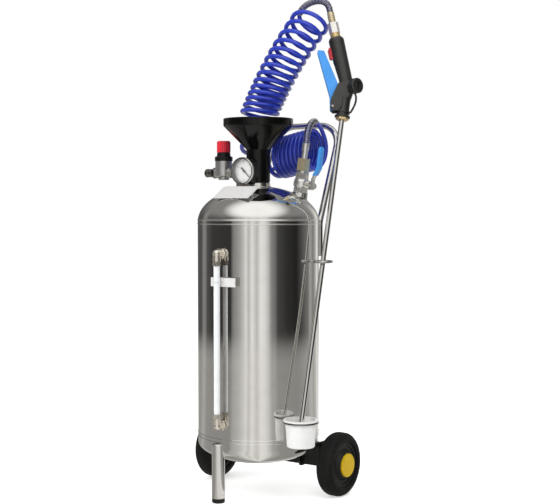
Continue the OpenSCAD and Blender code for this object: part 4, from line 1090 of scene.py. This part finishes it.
@dataclass
class Crimps:
    """Raised bands between the rolled grooves of the hose ferrules."""

    profile: tuple = ((6.4, 0.0), (7.35, 0.3), (7.5, 1.1), (7.35, 1.9), (6.4, 2.2))
    pitch: float = 3.6
    count: int = 3
    valve_at: float = 86.0
    gun_at: float = 37.0

    def build(self, looks: Looks) -> None:
        """Bands on the ferrule at the valve and on that at the gun."""
        valve = Matrix.Translation(from_tank(VALVE.point(UP * self.valve_at))) @ VALVE.turn
        foot = from_tank(GUN.on_grip(UP * (GUN.grip_len + self.gun_at)))
        gun = Matrix.Translation(foot) @ (GUN.turn @ GUN.lean)
        for name, place, finish, slot in (("ferrule_bands_valve", valve, "valve_chrome", "nickel_plate"),
                                          ("ferrule_bands_gun", gun, "pale_brass", "brass")):
            pattern = turned("band", self.profile)
            bands = [copy(pattern, f"band_{k}", place @ Matrix.Translation(UP * k * self.pitch * MM))
                     for k in range(self.count)]
            drop(pattern)
            piece = join(bands, name)
            smooth(piece, 40)
            fasten(piece, looks, finish, slot)


@dataclass
class Studio:
    """Camera, light, floor and background for the 560 by 504 picture."""

    width_px: float = 560.0
    focal_px: float = 1213.25
    azimuth: float = 34.767
    tilt: float = 2.58
    distance: float = 2406.6
    aside: float = 42.95
    height: float = 587.9
    floor_half: float = 12.0
    floor_sides: int = 96
    floor_lift: float = 0.5
    grain_waves: float = 3.0
    grain_share: float = 0.05
    paper: float = 2.6
    paper_edge: tuple = (0.6, 1.4)
    window: float = -62.0
    window_lean: float = 62.0
    window_edge: tuple = (0.58, 0.93)
    window_glare: Colour = (1.2, 1.19, 1.17)
    ceiling: Colour = (0.28, 0.275, 0.265)
    ceiling_edge: tuple = (0.1, 0.6)
    even: Colour = (0.60, 0.60, 0.60)
    white: Colour = (1.0, 1.0, 1.0)
    tint: Colour = (1.0, 0.985, 0.955)
    sheen: Colour = (0.84, 0.82, 0.78)
    sheen_share: float = 0.36
    floor_tones: tuple = ((0.94, 0.94, 0.93), (0.86, 0.86, 0.85))
    lamps: tuple = (("key", (1.9, -1.6, 2.4), 1.4, 34.0), ("fill", (-1.5, -2.3, 1.8), 1.8, 44.0),
                    ("rim", (-0.6, 2.2, 2.2), 1.4, 14.0))
    lamp_aim: Colour = (0.0, 0.0, 0.5)
    bands: tuple = (
        (-180, 0.28), (-173, 0.26), (-167, 0.10), (-150, 0.05), (-107, 0.04), (-101, 0.27), (-90, 0.43),
        (-83, 0.64), (-77, 0.92), (-72, 0.60), (-66, 1.0), (-57, 0.62), (-50, 1.0), (-43, 0.92), (-36, 0.62),
        (-30, 0.28), (-24, 0.22), (-18, 0.07), (0, 0.035), (22, 0.02), (36, 0.09), (50, 0.20), (62, 0.42),
        (72, 0.24), (83, 0.50), (92, 0.95), (104, 0.45), (140, 0.10), (170, 0.09), (180, 0.28),
    )

    def build(self) -> None:
        """Sets up the whole studio."""
        scene = bpy.context.scene
        scene.view_settings.view_transform = "Standard"
        self._camera(scene)
        self._world(scene)
        self._floor()
        for lamp in self.lamps:
            self._lamp(*lamp)

    def _camera(self, scene: bpy.types.Scene) -> None:
        """Camera at the photograph's angle."""
        a = radians(self.azimuth)
        right = Vector((cos(a), sin(a), 0.0))
        away = Vector((-sin(a), cos(a), 0.0))
        data = bpy.data.cameras.new("camera")
        data.sensor_width = 36.0
        data.lens = data.sensor_width * self.focal_px / self.width_px
        camera = add("camera", data)
        camera.location = from_tank(right * self.aside - away * self.distance + UP * self.height)
        camera.rotation_euler = (radians(90.0 - self.tilt), 0.0, a)
        scene.camera = camera

    def _room(self, paint: Paint, x: Sock, y: Sock) -> Sock:
        """Pale and dark stretches of the room by compass direction, for reflections.

        Args:
            paint: the tree that takes the nodes.
            x: direction or place along X.
            y: direction or place along Y.

        Returns:
            The colour of the room that way.
        """
        turn = paint.node("ShaderNodeMath", {0: y, 1: x}, {"operation": "ARCTAN2"}) / (2 * pi) + 0.5
        stops = [((angle + 180) / 360, tuple(tone * t for t in self.tint)) for angle, tone in self.bands]
        return paint.node("ShaderNodeValToRGB", {0: turn}, {"stops": stops})

    def _world(self, scene: bpy.types.Scene) -> None:
        """White background, even light, and a room of pale and dark stretches for reflections."""
        world = bpy.data.worlds.new("studio")
        scene.world = world
        paint = Paint(world)
        where = paint.node("ShaderNodeTexCoord", out="Generated")
        x, y, z = paint.split(where)
        room = self._room(paint, x, y)
        side, lean = radians(self.window), radians(self.window_lean)
        towards = (x * cos(side) + y * sin(side)) * cos(lean) + z * sin(lean)
        overhead = paint.mix(towards.step(*self.window_edge), self.ceiling, self.window_glare)
        seen = paint.mix(z.step(*self.ceiling_edge), room, overhead)
        camera, glossy, through = paint.rays()
        even = paint.mix(glossy, self.even, seen)
        colour = paint.mix(camera + through, even, self.white)
        light = paint.node("ShaderNodeBackground", {"Color": colour, "Strength": 1.0})
        paint.node("ShaderNodeOutputWorld", {"Surface": light})

    def _floor(self) -> None:
        """Plain pale floor that is white to the camera, keeps the shadow and shows the room in metal."""
        bpy.ops.mesh.primitive_circle_add(vertices=self.floor_sides, radius=self.floor_half, fill_type="NGON")
        floor = bpy.context.object
        floor.name = "floor"
        material = bpy.data.materials.new("floor_pale")
        paint = Paint(material)
        camera, glossy, through = paint.rays()
        grain = paint.noise(self.grain_waves) * self.grain_share
        x, y, _ = paint.split(paint.place)
        pale = paint.node("ShaderNodeBsdfDiffuse", {"Color": paint.mix(grain, *self.floor_tones)})
        lift = paint.node("ShaderNodeEmission",
                          {"Color": self.white, "Strength": (camera + through) * self.floor_lift})
        lit = paint.node("ShaderNodeAddShader", {0: pale, 1: lift})
        x, y = x - TANK.x * MM, y - TANK.y * MM
        room = self._room(paint, x, y)
        far = (x * x + y * y).step(*[self.paper ** 2 * share for share in self.paper_edge])
        sheen = paint.mix(far, paint.mix(self.sheen_share, room, self.sheen), room)
        mirrored = paint.node("ShaderNodeEmission", {"Color": sheen, "Strength": 1.0})
        both = paint.node("ShaderNodeMixShader", {0: glossy, 1: lit, 2: mirrored})
        paint.node("ShaderNodeOutputMaterial", {"Surface": both})
        floor.data.materials.append(material)

    def _lamp(self, name: str, place: Colour, size: float, watts: float) -> None:
        """A soft square lamp aimed at the sprayer's middle."""
        data = bpy.data.lights.new(name, "AREA")
        data.size = size
        data.energy = watts
        lamp = add(name, data)
        lamp.location = place
        lamp.visible_glossy = False
        aim = Vector(self.lamp_aim) - Vector(place)
        lamp.rotation_euler = aim.to_track_quat("-Z", "Y").to_euler()


def main() -> None:
    """Builds the studio and the sub-assemblies in order."""
    logging.basicConfig(level=logging.INFO, format="%(name)s: %(message)s")
    Studio().build()
    looks = Looks()
    SpiralHose().build(looks)
    looks.dress_nodes()
    for part in (
        Tank(), Gauge(), Plate(), LegCap(), Crimps(),
        Softened("gun_body", "gun_shell", "gun_black", "black_satin", voxel=0.8, rounds=8, keep=0.4,
                 guest="lock_button", travel=(3.12, 2.39, 0.75)),
        Softened("trigger", "gun_trigger_channel", "lever_blue", "sky_blue", "gun_trigger", 0.5, 4, 0.5),
        Softened("lever_sleeve", "lever_dip_sleeve", "lever_blue", "sky_blue", "outlet_lever", 0.5, 6, 0.5),
    ):
        part.build(looks)


if __name__ == "__main__":
    main()
